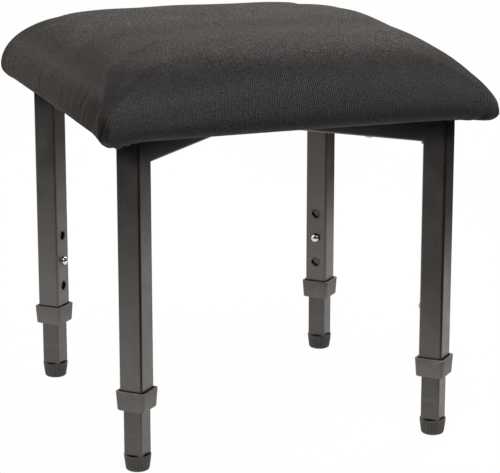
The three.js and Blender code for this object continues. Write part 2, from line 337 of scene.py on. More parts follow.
@dataclass(frozen=True)
class PowderCoat:
    """Satin black powder coat: a fine orange peel, cloudy gloss and a little dust and rubbing.

    Close under the seat the coat is painted black and dull, as painted shade. Where a leg's place
    is given, the round corners of its outer tube are painted black too, as a painted dark reflection.
    """

    colour: Colour = (0.017, 0.0155, 0.014)
    dusty: Colour = (0.042, 0.037, 0.033)
    shaded: Colour = (0.011, 0.0102, 0.0096)
    rubbed: Colour = (0.16, 0.15, 0.14)
    bend_dark_reflection: Colour = (0.001, 0.001, 0.001)
    gloss_low: float = 0.25
    gloss_high: float = 0.35
    index: float = 2.12
    cloud_waves: float = 45.0
    streak_waves: float = 700.0
    mottle_waves: float = 380.0
    speck_cells: float = 420.0
    peel_waves: float = 850.0
    peel_height: float = 0.00005
    scuff_height: float = 0.0
    scuff_width: float = 0.0016
    scuff_waver: float = 0.004
    seat_shade_from: Span = (0.290, 0.332)
    dull_shade_from: Span = (0.298, 0.329)
    leg_place: float = 0.0
    bend_reflection_from: Span = (0.0156, 0.0162)

    def build(self, name: str) -> bpy.types.Material:
        """Makes the material under a name."""
        graph = Finish(name, IOR=self.index, Specular_Tint=WARM_SHINE)
        at = graph.place()
        x, y, up = graph.parts(at)
        cloud = graph.noise(at, self.cloud_waves, 4.0, 0.6)
        streak = graph.noise(graph.place(1.0, 1.0, 0.06), self.streak_waves, 3.0, 0.6)
        mottle = graph.noise(at, self.mottle_waves, 3.0, 0.7)
        dust = cloud.ramp(0.45, 0.75, 0.0, 0.35) + streak.ramp(0.58, 0.74, 0.0, 0.25)
        dust = dust + mottle.ramp(0.42, 0.66, 0.0, 0.4)
        speck = graph.specks(at, self.speck_cells, 0.93, (0.10, 0.22)) * 0.5
        # painted shade: the coat goes black close under the seat
        colour = graph.layers(
            self.colour, (dust, self.dusty), (speck, self.rubbed), (up.ramp(*self.seat_shade_from), self.shaded),
        )
        rough = cloud.ramp(0.3, 0.7, self.gloss_low, self.gloss_high) + streak * 0.05 + mottle * 0.05
        # painted dark reflection: the leg tube's round corners go black
        if self.leg_place:
            off = abs(abs(x) - self.leg_place).larger(abs(abs(y) - self.leg_place))
            colour = graph.blend(off.ramp(*self.bend_reflection_from), colour, self.bend_dark_reflection)
        if self.scuff_height:
            off = abs(up - self.scuff_height + (cloud - 0.5) * self.scuff_waver)
            band = off.ramp(0.0, self.scuff_width, 1.0, 0.0) * cloud.ramp(0.35, 0.55)
            colour = graph.blend(band * 0.3, colour, self.rubbed)
            rough = rough + band * 0.1
        graph.drive(Base_Color=colour, Roughness=rough)
        graph.bump(graph.noise(at, self.peel_waves, 3.0) + cloud * 0.6, self.peel_height)
        # painted shade: a dull black shader covers the coat close under the seat
        dull = up.ramp(*self.dull_shade_from) * mottle.ramp(0.3, 0.7, 0.65, 0.95)
        graph.cover(dull, "ShaderNodeBsdfDiffuse", {"Color": (*self.shaded, 1.0)})
        return graph.material


@dataclass(frozen=True)
class MouldedPlastic:
    """Matt black moulded plastic: a fine grain from the mould, cloudy dust and pale specks."""

    colour: Colour = (0.030, 0.0275, 0.0255)
    dusty: Colour = (0.054, 0.049, 0.045)
    pale: Colour = (0.20, 0.19, 0.18)
    index: float = 1.6
    cloud_waves: float = 90.0
    speck_cells: float = 500.0
    grain_waves: float = 1600.0
    grain_height: float = 0.00004

    def build(self, name: str) -> bpy.types.Material:
        """Makes the material under a name."""
        graph = Finish(name, IOR=self.index, Specular_Tint=WARM_SHINE)
        at = graph.place()
        cloud = graph.noise(at, self.cloud_waves, 4.0, 0.6)
        speck = graph.specks(at, self.speck_cells, 0.94, (0.08, 0.2)) * 0.6
        colour = graph.layers(self.colour, (cloud.ramp(0.42, 0.72), self.dusty), (speck, self.pale))
        graph.drive(Base_Color=colour, Roughness=cloud.ramp(0.3, 0.7, 0.48, 0.62))
        graph.bump(graph.noise(at, self.grain_waves, 2.0), self.grain_height)
        return graph.material


@dataclass(frozen=True)
class ClothPlace:
    """Where on the cover a point lies, as values of its finish's graph.

    Around is the way round the pad. Steep is one on the sides and zero on top, left is one on the
    left side, and flat is one on the top and a share on the left side, where painted light lies.
    """

    at: Value
    x: Value
    y: Value
    z: Value
    around: Value
    steep: Value
    left: Value
    flat: Value

    @classmethod
    def on(cls, graph: Finish, layer: str) -> "ClothPlace":
        """The place on the cover whose ribs were laid in this UV layer."""
        at = graph.place()
        x, y, z = graph.parts(at)
        around, steep, _ = graph.parts(graph.cloth(layer))
        left = steep * x.ramp(-0.199, -0.188, 1.0, 0.0)
        flat = ((1 - steep) * y.ramp(-0.175, -0.12)).larger(left * 0.7)
        return cls(at, x, y, z, around, steep, left, flat)


@dataclass(frozen=True)
class RibbedFabric:
    """Charcoal ribbed knit, a little over two millimetres from rib to rib, with a grainy nap.

    The ribs show where the cloth is pulled: down the sides they run from the crown to the hem,
    broken into stitches, and over the top they run faintly from front to back. The top and the
    left side are painted lighter and warmer, as painted light, and the front is left darker, with
    cooler patches of painted shade.
    """

    layer: str = "drop"
    crease_shade_layer: str = "crease"
    ridge: Colour = (0.064, 0.0635, 0.0645)
    groove: Colour = (0.004, 0.0038, 0.0038)
    fleck: Colour = (0.120, 0.112, 0.104)
    lit_ridge: Colour = (0.071, 0.057, 0.0465)
    cool_shade: Colour = (0.046, 0.045, 0.052)
    warm: Colour = (0.049, 0.043, 0.036)
    lint: Colour = (0.26, 0.25, 0.24)
    rib_pitch: float = 0.00224
    rib_height: float = 0.00045
    rib_mean: float = 0.64
    top_share: float = 0.28
    way_round: float = 0.4032
    waver_waves: float = 90.0
    stitch_waves: float = 1150.0
    nap_waves: float = 2600.0
    grain_waves: Span = (1250.0, 1600.0)
    cloud_waves: float = 14.0
    lint_cells: float = 160.0
    fold_waves: float = 150.0
    fold_height: float = 0.0012

    def build(self, name: str) -> bpy.types.Material:
        """Makes the material under a name."""
        graph = Finish(
            name, IOR=1.4, Specular_IOR_Level=0.2, Specular_Tint=(1.0, 0.88, 0.78, 1.0),
            Sheen_Weight=0.06, Sheen_Roughness=0.45, Sheen_Tint=(0.68, 0.59, 0.50, 1.0),
        )
        lie = ClothPlace.on(graph, self.layer)
        stitch = graph.noise(graph.place(1.0, 1.0, 0.45), self.stitch_waves, 1.0, 0.6)
        nap = graph.noise(lie.at, self.nap_waves, 3.0, 0.65)
        grain = self._grain(graph, lie)
        height = self._ribs(graph, lie, stitch) + (stitch - 0.5) * lie.steep * 1.3
        height = height + (nap - 0.5) * 0.5 + (grain - 0.5) * 0.4
        off_corner = abs((lie.around / self.way_round + 0.5).fraction() - 0.5)
        pulled = off_corner.ramp(0.10, 0.42, 1.0, 0.0) * lie.left * lie.y.ramp(-0.10, 0.10, 1.0, 0.35)
        folds = graph.noise(graph.cloth(self.layer, 1.0, 0.004, 1.0), self.fold_waves, 1.0)
        # painted shade in the pull folds
        fold_shade = folds.ramp(0.42, 0.52, 0.9, 0.0) * pulled
        colour = self._colour(graph, lie, height, grain, fold_shade)
        graph.drive(Base_Color=colour, Roughness=nap.ramp(0.3, 0.7, 0.86, 0.98))
        graph.bump(height * (self.rib_height / self.fold_height) + folds * pulled, self.fold_height)
        return graph.material

    def _ribs(self, graph: Finish, lie: ClothPlace, stitch: Value) -> Value:
        """The ribs' height as a share: the size of a sine of the way across them.

        Down the sides they stand out more towards the right and less at its end, and each stitch
        breaks them. Over the top they fade towards the left.

        Args:
            graph: the finish's graph.
            lie: the place on the cover.
            stitch: the noise of the stitches.

        Returns:
            The height, from zero to a little over one.
        """
        waver = (graph.noise(lie.at, self.waver_waves, 2.0) - 0.5) * (self.rib_pitch * 0.7)
        over, down = (
            abs(((across + waver) * (math.pi / self.rib_pitch)).sine()) for across in (lie.x, lie.around)
        )
        over = over * lie.x.ramp(-0.20, -0.10, 0.1, 1.0) * self.top_share
        clear = lie.x.ramp(-0.20, 0.03, 0.20, 0.80) - lie.x.ramp(0.15, 0.20, 0.0, 0.35)
        down = (down - self.rib_mean) * clear * stitch.ramp(0.36, 0.64, 0.2, 1.6) + 0.58
        return over * (1 - lie.steep) + down * lie.steep

    def _grain(self, graph: Finish, lie: ClothPlace) -> Value:
        """The grain of the loops, which is coarser on the far part of the top."""
        coarse = graph.noise(graph.place(1.0, 0.30, 1.0), self.grain_waves[0], 1.0, 0.6)
        fine = graph.noise(graph.place(1.0, 0.40, 1.0), self.grain_waves[1], 1.0, 0.6)
        return coarse + (fine - coarse) * lie.y.ramp(-0.10, 0.02, 1.0, 0.0)

    def _colour(self, graph: Finish, lie: ClothPlace, height: Value, grain: Value, folds: Value) -> Value:
        """The cloth's colour.

        Args:
            graph: the finish's graph.
            lie: the place on the cover.
            height: the relief of ribs, stitches, nap and grain.
            grain: the grain of the loops.
            folds: how much painted shade the pull folds lay on the point.

        Returns:
            The colour: ridges over grooves, then each of what lies on them, painted light and painted shade
                among them.
        """
        cloud = graph.noise(lie.at, self.cloud_waves, 3.0, 0.55)
        # painted light: the top and the left side take a lighter, warmer ridge colour
        ridge = graph.blend(lie.flat, self.ridge, self.lit_ridge)
        loose = lie.z.ramp(0.386, 0.414, 0.15, 1.2) + lie.left * 0.85 + lie.steep * 0.12
        # painted shade: the top darker towards the left and the front, and the left side darker towards its
        # front
        top_shade = lie.x.ramp(-0.20, 0.16, 0.30, 0.0) + lie.y.ramp(-0.17, -0.04, 0.11, 0.0)
        shade = lie.y.ramp(-0.21, 0.19, 0.70, 0.34) * lie.z.ramp(0.332, 0.352)
        return graph.layers(
            graph.blend(height.ramp(0.1, 0.85), self.groove, ridge),
            (grain.ramp(0.52, 0.66) * loose, self.fleck),
            (grain.ramp(0.35, 0.485, 1.0, 0.0) * loose, self.groove),
            (top_shade * (1 - lie.steep), self.groove),
            # painted light: the sides lighter near the hem
            (lie.steep * lie.z.ramp(0.322, 0.346, 0.70, 0.0), self.fleck),
            # cloudy tone, with the front's cooler, darker patches as painted shade
            (cloud.ramp(0.4, 0.7, 0.0, 0.3) * (1 - lie.flat), self.cool_shade),
            (cloud.ramp(0.3, 0.55, 0.3, 0.0) * lie.flat, self.warm),
            # painted shade in the pull folds, then in the creases and gathers pressed into the mesh
            (folds, self.groove),
            (shade * lie.left, self.groove),
            (graph.painted(self.crease_shade_layer), self.groove),
            (graph.specks(lie.at, self.lint_cells, 0.99, (0.07, 0.13)) * 0.55, self.lint),
        )


@dataclass(frozen=True)
class OpenFoam:
    """Cream upholstery foam with open cells."""

    colour: Colour = (0.62, 0.55, 0.36)
    shade: Colour = (0.40, 0.34, 0.20)
    cells: float = 900.0
    cell_depth: float = 0.0004

    def build(self, name: str) -> bpy.types.Material:
        """Makes the material under a name."""
        graph = Finish(name, IOR=1.4, Specular_IOR_Level=0.2)
        distance, _ = graph.cells(graph.place(), self.cells)
        colour = graph.blend(distance.ramp(0.1, 0.6), self.shade, self.colour)
        graph.drive(Base_Color=colour, Roughness=distance.ramp(0.0, 0.6, 0.98, 0.9))
        graph.bump(distance, self.cell_depth)
        return graph.material


@dataclass(frozen=True)
class PlainPlywood:
    """Birch plywood: long grain on its faces and thin plies on its edges."""

    light: Colour = (0.50, 0.33, 0.17)
    dark: Colour = (0.32, 0.19, 0.085)
    ply: float = 0.0013
    grain_waves: float = 420.0
    figure_waves: float = 38.0
    grain_height: float = 0.0001

    def build(self, name: str) -> bpy.types.Material:
        """Makes the material under a name."""
        graph = Finish(name, IOR=1.45, Specular_IOR_Level=0.3)
        _, _, up = graph.parts(graph.place())
        grain = graph.noise(graph.place(0.05, 1.0, 1.0), self.grain_waves, 4.0, 0.6)
        figure = graph.noise(graph.place(0.12, 1.0, 1.0), self.figure_waves, 3.0, 0.7)
        plies = (up / self.ply).fraction().ramp(0.4, 0.6, 0.0, 0.25)
        tone = figure.ramp(0.35, 0.65, 0.0, 0.6) + grain.ramp(0.5, 0.75, 0.0, 0.4)
        colour = graph.layers(self.light, (tone, self.dark), (plies, self.dark))
        graph.drive(Base_Color=colour, Roughness=grain.ramp(0.3, 0.7, 0.62, 0.8))
        graph.bump(grain, self.grain_height)
        return graph.material


@dataclass(frozen=True)
class BareMetal:
    """Plated or bare steel: cloudy gloss, and fine lines from turning, rolling or handling."""

    colour: Colour = (0.72, 0.70, 0.66)
    stain: Colour = (0.45, 0.43, 0.40)
    gloss_low: float = 0.14
    gloss_high: float = 0.26
    stain_share: float = 0.25
    cloud_waves: float = 350.0
    line_waves: float = 2400.0
    line_depth: float = 0.000012

    def build(self, name: str) -> bpy.types.Material:
        """Makes the material under a name."""
        graph = Finish(name, Metallic=1.0)
        cloud = graph.noise(graph.place(), self.cloud_waves, 3.0, 0.6)
        lines = graph.noise(graph.place(1.0, 1.0, 0.1), self.line_waves, 2.0)
        colour = graph.blend(cloud.ramp(0.45, 0.7, 0.0, self.stain_share), self.colour, self.stain)
        graph.drive(Base_Color=colour, Roughness=cloud.ramp(0.3, 0.7, self.gloss_low, self.gloss_high))
        graph.bump(lines, self.line_depth)
        return graph.material


# Shapes


@dataclass(frozen=True)
class Placement:
    """A place for a shape: its origin, and the directions that its own X and Z take."""

    origin: Point
    x_axis: Point = (1.0, 0.0, 0.0)
    z_axis: Point = (0.0, 0.0, 1.0)

    def put(self, points: Array) -> Array:
        """The points of a shape in the frame of the whole stool."""
        x_axis = np.array(self.x_axis, float)
        z_axis = np.array(self.z_axis, float)
        axes = np.stack([x_axis, np.cross(z_axis, x_axis), z_axis])
        return np.array(self.origin, float) + points @ axes


@dataclass
class Skin:
    """Grids of points that are sewn into one surface."""

    points: list[Array] = field(default_factory=list)
    faces: list[Array] = field(default_factory=list)
    total: int = 0

    def grid(self, rows: Array, closed: bool = True, keep: Array | None = None) -> "Skin":
        """Adds a grid whose faces join each point to the next of its row and of its column.

        Args:
            rows: the points, as rows by columns by 3.
            closed: whether the last point of a row joins its first.
            keep: which faces to keep, as true or false for each.

        Returns:
            This skin.
        """
        count, across = rows.shape[:2]
        index = np.arange(count * across).reshape(count, across)
        beside = np.roll(index, -1, axis=1)
        quads = np.stack([index[:-1], beside[:-1], beside[1:], index[1:]], axis=-1)
        if not closed:
            quads = quads[:, :-1]
        if keep is not None:
            quads = quads[keep]
        self.points.append(rows.reshape(-1, 3))
        self.faces.append(quads.reshape(-1, 4) + self.total)
        self.total += count * across
        return self

    def join(self, other: "Skin", place: Placement | None = None) -> "Skin":
        """Adds all of another skin, put in a place if one is given.

        Args:
            other: the other skin.
            place: where it goes.

        Returns:
            This skin.
        """
        points = np.concatenate(other.points)
        self.points.append(place.put(points) if place else points)
        self.faces.append(np.concatenate(other.faces) + self.total)
        self.total += len(points)
        return self

    def mesh(self, name: str, place: Placement | None = None, closed: bool = True) -> bpy.types.Mesh:
        """Sews the grids into a mesh.

        Args:
            name: the mesh's name.
            place: where it goes.
            closed: whether it is a closed shell, whose faces are then turned outwards.

        Returns:
            The mesh, with points that fall together made one.
        """
        points = np.concatenate(self.points)
        mesh = bpy.data.meshes.new(name)
        mesh.from_pydata(place.put(points) if place else points, [], np.concatenate(self.faces))
        shell = bmesh.new()
        shell.from_mesh(mesh)
        bmesh.ops.remove_doubles(shell, verts=shell.verts, dist=SEWING_DISTANCE)
        if closed:
            bmesh.ops.recalc_face_normals(shell, faces=shell.faces)
        shell.to_mesh(mesh)
        shell.free()
        return mesh


def bell(off: Array, width: float) -> Array:
    """A bell curve: one where off is zero, and little from the width outwards."""
    return np.exp(-(off / width) ** 2)


def rise(value: Array, start: float, end: float) -> Array:
    """A straight climb from zero at the start to one at the end, which may be the smaller."""
    return np.clip((value - start) / (end - start), 0, 1)


def even_angles(steps: int) -> Array:
    """Angles at even steps round a circle, from zero."""
    return np.arange(steps) * (2 * math.pi / steps)


def turned(points: Array, quarters: int) -> Array:
    """Points turned about Z by a number of quarter turns."""
    cosine = round(math.cos(quarters * QUARTER))
    sine = round(math.sin(quarters * QUARTER))
    spin = np.array([[cosine, sine, 0], [-sine, cosine, 0], [0, 0, 1]], float)
    return points @ spin


def arc(centre: Span, radii: Span, start: float, end: float, steps: int) -> Array:
    """Points on an ellipse's arc between two angles given in quarter turns."""
    angle = np.linspace(start, end, steps + 1) * QUARTER
    return np.stack([centre[0] + radii[0] * np.cos(angle), centre[1] + radii[1] * np.sin(angle)], axis=-1)


def square_ring(width: float, radius: float, side_steps: int = 8, corner_steps: int = 6) -> Array:
    """A square with round corners, counterclockwise from the start of its +X side.

    Along a side the points lie at half its length times the sine of even steps, so they crowd
    towards its ends. Each corner is a quarter circle about that corner's own centre.

    Args:
        width: the square's width.
        radius: the radius of its corners.
        side_steps: the steps along a side.
        corner_steps: the steps round a corner.

    Returns:
        The points in the plane, as rows of 3 with a height of zero.
    """
    reach = width / 2 - radius
    along = reach * np.sin(np.linspace(-QUARTER, QUARTER, side_steps + 1))
    side = np.stack([np.full_like(along, width / 2), along], axis=-1)
    corner = arc((reach, reach), (radius, radius), 0, 1, corner_steps)[1:-1]
    flat = np.concatenate([side, corner])
    quarter = np.column_stack([flat, np.zeros(len(flat))])
    return np.concatenate([turned(quarter, quarters) for quarters in range(4)])


def square_loft(sections: Sequence[tuple[float, float, float]]) -> Skin:
    """A ring-shaped solid: square rings, each with its width, corner radius and height.

    The rings follow one another round the solid's section, and the last joins the first.

    Args:
        sections: the rings.

    Returns:
        The closed skin.
    """
    rings = [square_ring(width, radius) + UP * height for width, radius, height in sections]
    return Skin().grid(np.stack([*rings, rings[0]]))


def round_loft(rows: Sequence[tuple[Array | float, Array | float]], steps: int = 48) -> Skin:
    """A turned or fluted solid about Z.

    Args:
        rows: its rings, each as a radius and a height, which are numbers or one for each angle.
        steps: the number of even angles.

    Returns:
        The closed skin.
    """
    angle = even_angles(steps)
    radius, height = (np.stack([np.broadcast_to(row[part], steps) for row in rows]) for part in (0, 1))
    return Skin().grid(np.stack([radius * np.cos(angle), radius * np.sin(angle), height], axis=-1))


@dataclass(frozen=True)
class TubeSize:
    """The section of a square tube with round corners."""

    width: float
    corner: float
    wall: float
    bore_corner: float

    @property
    def half(self) -> float:
        """Half the tube's width."""
        return self.width / 2

    @property
    def bore(self) -> float:
        """The width of its bore."""
        return self.width - 2 * self.wall


FRAME_TUBE = TubeSize(width=0.025, corner=0.002, wall=0.0012, bore_corner=0.0008)
INNER_TUBE = TubeSize(width=0.020, corner=0.0015, wall=0.0015, bore_corner=0.0006)


@dataclass(frozen=True)
class Hole:
    """A round hole through one wall of a square tube: the wall's number, its place and its radius."""

    wall: int
    place: float
    radius: float


@dataclass(frozen=True)
class SquareTube:
    """A length of square tube along Z with drilled holes, whose rims the coat rounds."""

    size: TubeSize
    bottom: float
    top: float
    holes: tuple[Hole, ...] = ()
    rim_radius: float = 0.0004
    side_steps: int = 8
    corner_steps: int = 6
    patch_share: float = 1.7

    def skin(self) -> Skin:
        """The tube's outside, bore, holes and cut ends.

        A wall is a grid of ring points times heights. Round a hole, a square patch of it is left
        out, and loops of points take its place: each lies between the patch's edge and the hole's
        circle by a share, then rounds the rim, goes through the wall, and widens out again inside.

        Returns:
            The closed skin.
        """
        rows = [np.array([self.bottom, self.top])]
        rows += [self._patch_rows(hole) for hole in self.holes]
        heights = np.unique(np.concatenate(rows).round(9))
        steps = self.side_steps, self.corner_steps
        rings = [
            square_ring(self.size.width, self.size.corner, *steps),
            square_ring(self.size.bore, self.size.bore_corner, *steps),
        ]
        keep = np.ones((len(heights) - 1, len(rings[0])), bool)
        middles = (heights[1:] + heights[:-1]) / 2
        for hole in self.holes:
            first = hole.wall * sum(steps)
            beside = np.abs(middles - hole.place) < hole.radius * self.patch_share
            keep[beside, first:first + self.side_steps] = False
        skin = Skin()
        for ring in rings:
            skin.grid(ring[None] + heights[:, None, None] * UP, keep=keep)
        for height in (self.bottom, self.top):
            skin.grid(np.stack(rings) + UP * height)
        for hole in self.holes:
            skin.grid(turned(self._hole_loops(hole, rings), hole.wall))
        return skin

    def _patch_rows(self, hole: Hole) -> Array:
        """The heights of the grid beside a hole."""
        half = hole.radius * self.patch_share
        return hole.place + np.linspace(-half, half, self.side_steps + 1)

    def _patch_edge(self, hole: Hole, ring: Array) -> Array:
        """The edge of the patch that a hole takes out of a ring's wall, about the hole's middle."""
        steps = self.side_steps
        rows = self._patch_rows(hole).round(9) - hole.place
        side = ring[:steps + 1, 1]
        return np.concatenate([
            np.stack([side[:-1], np.full(steps, rows[0])], axis=-1),
            np.stack([np.full(steps, side[-1]), rows[:-1]], axis=-1),
            np.stack([side[:0:-1], np.full(steps, rows[-1])], axis=-1),
            np.stack([np.full(steps, side[0]), rows[:0:-1]], axis=-1),
        ])

    def _hole_loops(self, hole: Hole, rings: list[Array]) -> Array:
        """The loops of points through a hole in the +X wall, from outside to inside."""
        steps = 4 * self.side_steps
        angle = (np.arange(steps) / self.side_steps - 2.5) * QUARTER
        circle = np.stack([np.cos(angle), np.sin(angle)], axis=-1)
        outside, inside = (self._patch_edge(hole, ring) for ring in rings)
        outer, inner = self.size.half, self.size.bore / 2
        wide = hole.radius + self.rim_radius
        loops = [(outer, wide * circle * (1 - share) + outside * share) for share in (1.0, 0.6, 0.25)]
        for turn in np.linspace(0, QUARTER, 5):
            depth = self.rim_radius * (1 - math.cos(turn))
            loops.append((outer - depth, circle * (wide - self.rim_radius * math.sin(turn))))
        loops += [(inner, hole.radius * circle * (1 - share) + inside * share) for share in (0.0, 0.4, 1.0)]
        return np.stack([
            np.column_stack([np.full(steps, depth), loop + [0, hole.place]]) for depth, loop in loops
        ])


@dataclass(frozen=True)
class WeldBead:
    """A bead of weld along a straight seam: an oval section that swells at each ripple."""

    start: Array
    end: Array
    long_axis: Array
    short_axis: Array
    half_length: float
    half_height: float
    ripple_share: float = 0.16
    ripple_pitch: float = 0.0019
    ripple_lag: float = 0.35
    steps_round: int = 14

    def skin(self) -> Skin:
        """The bead's closed skin.

        At each step along the seam the section is an oval about the seam, as large as the root of
        the distance to the nearer end lets it be, times one plus a ripple that lags at its sides.

        Returns:
            The skin.
        """
        length = float(np.linalg.norm(self.end - self.start))
        ripples = length / self.ripple_pitch
        at = np.linspace(0, 1, max(8, int(6 * ripples)) + 1)[:, None]
        angle = even_angles(self.steps_round)[None]
        taper = np.sqrt(np.clip(np.minimum(at, 1 - at) * length / self.half_length, 0, 1))
        wave = np.abs(np.sin(math.pi * (at * ripples - self.ripple_lag * np.cos(angle) ** 2)))
        size = (taper * (1 + self.ripple_share * (wave - 0.5)))[..., None]
        across = np.cos(angle)[..., None] * self.long_axis * self.half_length
        height = np.sin(angle)[..., None] * self.short_axis * self.half_height
        return Skin().grid(self.start + at[..., None] * (self.end - self.start) + size * (across + height))


@dataclass(frozen=True)
class Collar:
    """The collar's moulding: a tapered cup outside the outer tube and a sleeve inside it."""

    bottom: float
    sleeve_top: float
    tube_end: float
    height: float = 0.020
    top_width: float = 0.0316
    bottom_width: float = 0.0296
    corner: float = 0.003
    edge: float = 0.0016
    lip: float = 0.0006
    rim_wall: float = 0.0019
    rim_corner_inset: float = 0.0012
    mouth_chamfer: float = 0.001

    def skin(self) -> Skin:
        """The collar's skin, round its section: bore, foot edge, rim, mouth, socket and sleeve."""
        rim = self.bottom + self.height
        floor_top = self.tube_end - FIT_GAP
        bore = INNER_TUBE.width + 2 * FIT_GAP, INNER_TUBE.corner + FIT_GAP
        socket = FRAME_TUBE.width + 2 * FIT_GAP, FRAME_TUBE.corner + FIT_GAP
        sleeve = FRAME_TUBE.bore - 2 * FIT_GAP, FRAME_TUBE.bore_corner
        mouth = self.top_width - 2 * self.rim_wall
        mouth_corner = self.corner - self.rim_corner_inset
        edge, lip = (self.edge, self.edge), (self.lip, self.lip)
        outside = np.concatenate([
            arc((self.bottom_width / 2 - self.edge, self.bottom + self.edge), edge, -1, 0, 5),
            arc((self.top_width / 2 - self.lip, rim - self.lip), lip, 0, 1, 3),
        ])
        inside = arc((mouth / 2 + self.lip, rim - self.lip), lip, 1, 2, 2)
        return square_loft([
            (*bore, self.bottom),
            *((2 * half, self.corner, up) for half, up in outside),
            *((2 * half, mouth_corner + half - mouth / 2, up) for half, up in inside),
            (mouth, mouth_corner, floor_top + self.mouth_chamfer), (*socket, floor_top),
            (*sleeve, floor_top), (*sleeve, self.sleeve_top), (*bore, self.sleeve_top),
        ])


@dataclass(frozen=True)
class Foot:
    """The foot's moulding: a ribbed round base that tapers down, a plain ledge and a square plug."""

    plug_top: float
    ribs: int = 24
    height: float = 0.0165
    contact: float = 0.0085
    lower: float = 0.0119
    upper: float = 0.0135
    edge: float = 0.0028
    edge_rib_depth: float = 0.0007
    rib_depth: float = 0.0009
    ledge: float = 0.0018
    ledge_step: float = 0.0001
    lip: float = 0.0004
    rim: float = 0.0007
    groove_depth: float = 0.0014
    plug_chamfer: float = 0.0014
    steps_to_rib: int = 8

    def skin(self) -> Skin:
        """The foot's skin.

        Round the base, the radius is the ring's own less the rib depth times the fourth power of
        the cosine of half the rib angle. Up the plug, it is the radius of a squarish oval: one
        over the twelfth root of the sum of the twelfth powers of cosine and sine.

        Returns:
            The closed skin.
        """
        steps = self.steps_to_rib * self.ribs
        angle = even_angles(steps)
        flute = np.cos(self.ribs * angle / 2) ** 4
        squarish = (np.cos(angle) ** 12 + np.sin(angle) ** 12) ** (-1 / 12)
        plug = (INNER_TUBE.bore / 2 - FIT_GAP) * squarish
        rib_top = self.height - self.ledge
        groove = self.upper - self.lip - self.rim
        rows = [(0.0, 0.0), (self.contact * 0.6, 0.0), (self.contact, 0.0)]
        for turn in np.linspace(0.2, 1, 5) * QUARTER:
            radius = self.contact + (self.lower - self.contact) * math.sin(turn)
            ribbed = radius - self.edge_rib_depth * math.sin(turn) * flute
            rows.append((ribbed, self.edge * (1 - math.cos(turn))))
        for share in np.linspace(0.12, 1, 6):
            radius = self.lower + (self.upper - self.lower) * share
            rows.append((radius - self.rib_depth * flute, self.edge + (rib_top - self.edge) * share))
        rows.append((self.upper - self.ledge_step, rib_top + self.ledge_step))
        rows.append((self.upper, rib_top + self.lip))
        rows += [*arc((self.upper - self.lip, self.height - self.lip), (self.lip, self.lip), 0, 1, 3)]
        rows += [
            (groove, self.height), (groove, self.height - self.groove_depth),
            (plug, self.height - self.groove_depth), (plug, self.plug_top - self.plug_chamfer),
            (plug - self.plug_chamfer * squarish, self.plug_top), (0.0, self.plug_top),
        ]
        return round_loft(rows, steps)


@dataclass(frozen=True)
class SnapButton:
    """The snap button, turned about the line through its hole: a tail, a flange and a dome."""

    height: float
    radius: float = 0.0046
    protrusion: float = 0.0055
    dome: float = 0.0034
    flange_radius: float = 0.006
    flange_thickness: float = 0.001
    flange_chamfer: float = 0.0002
    tail_radius: float = 0.002
    tail_length: float = 0.0016
    tail_chamfer: float = 0.0004

    def skin(self) -> Skin:
        """The button's closed skin, with its flange against the inner tube's wall."""
        face = INNER_TUBE.bore / 2 - FIT_GAP
        back = face - self.flange_thickness
        end = back - self.tail_length
        chamfered = self.flange_radius - self.flange_chamfer
        crown = FRAME_TUBE.half + self.protrusion - self.dome
        profile = np.concatenate([
            [[0, end], [self.tail_radius - self.tail_chamfer, end]],
            [[self.tail_radius, end + self.tail_chamfer], [self.tail_radius, back]],
            [[chamfered, back], [self.flange_radius, back + self.flange_chamfer]],
            [[self.flange_radius, face - self.flange_chamfer], [chamfered, face], [self.radius, face]],
            arc((0, crown), (self.radius, self.dome), 0, 1, 12),
        ])
        return Skin().join(round_loft(profile), Placement((0, 0, self.height), (0, 0, 1), (1, 0, 0)))


@dataclass(frozen=True)
class Screw:
    """A screw that points up: a domed head with a cross recess, and a threaded shank."""

    bottom: float
    top: float
    head_radius: float = 0.00525
    head_height: float = 0.0032
    dome_share: float = 0.85
    recess_depth: float = 0.0016
    recess_fade: Span = (0.0030, 0.0018)
    arm_fade: Span = (0.00075, 0.00045)
    shank_radius: float = 0.0025
    plain_length: float = 0.012
    thread_pitch: float = 0.0018
    thread_depth: float = 0.0006
    point_length: float = 0.003
    steps: int = 40

    def skin(self) -> Skin:
        """The screw's closed skin.

        The head's height over its disc falls as the square of the radius, less a recess where the
        nearer of two crossing slots is narrow. Along the shank the radius is the core's plus the
        thread's depth times a ridge of the height over the pitch plus the turn.

        Returns:
            The skin.
        """
        angle = even_angles(self.steps)
        turn = np.linspace(0, QUARTER, 15)[:, None]
        radius = self.head_radius * np.sin(turn)
        arm = np.minimum(np.abs(radius * np.cos(angle)), np.abs(radius * np.sin(angle)))
        recess = self.recess_depth * rise(radius, *self.recess_fade) * rise(arm, *self.arm_fade)
        dome = self.head_height * self.dome_share * (1 - np.cos(turn)) + recess
        head_top = self.bottom + self.head_height
        rows = [*zip(radius, self.bottom + dome)]
        rows += [(self.head_radius, head_top), (self.shank_radius, head_top)]
        first, last = head_top + self.plain_length, self.top - 0.0002
        for up in np.arange(first, last, self.thread_pitch / 6):
            taper = min(1.0, (self.top - up) / self.point_length)
            thread = np.abs(((up / self.thread_pitch + angle / (2 * math.pi)) % 1.0) * 2 - 1) ** 1.5
            rows.append(((self.shank_radius - self.thread_depth * (1 - thread)) * taper, up))
        rows.append((0.0, self.top))
        return round_loft(rows, self.steps)


# Making pieces


def link(name: str, data: bpy.types.ID) -> bpy.types.Object:
    """Adds an object to the scene."""
    made = bpy.data.objects.new(name, data)
    bpy.context.scene.collection.objects.link(made)
    return made


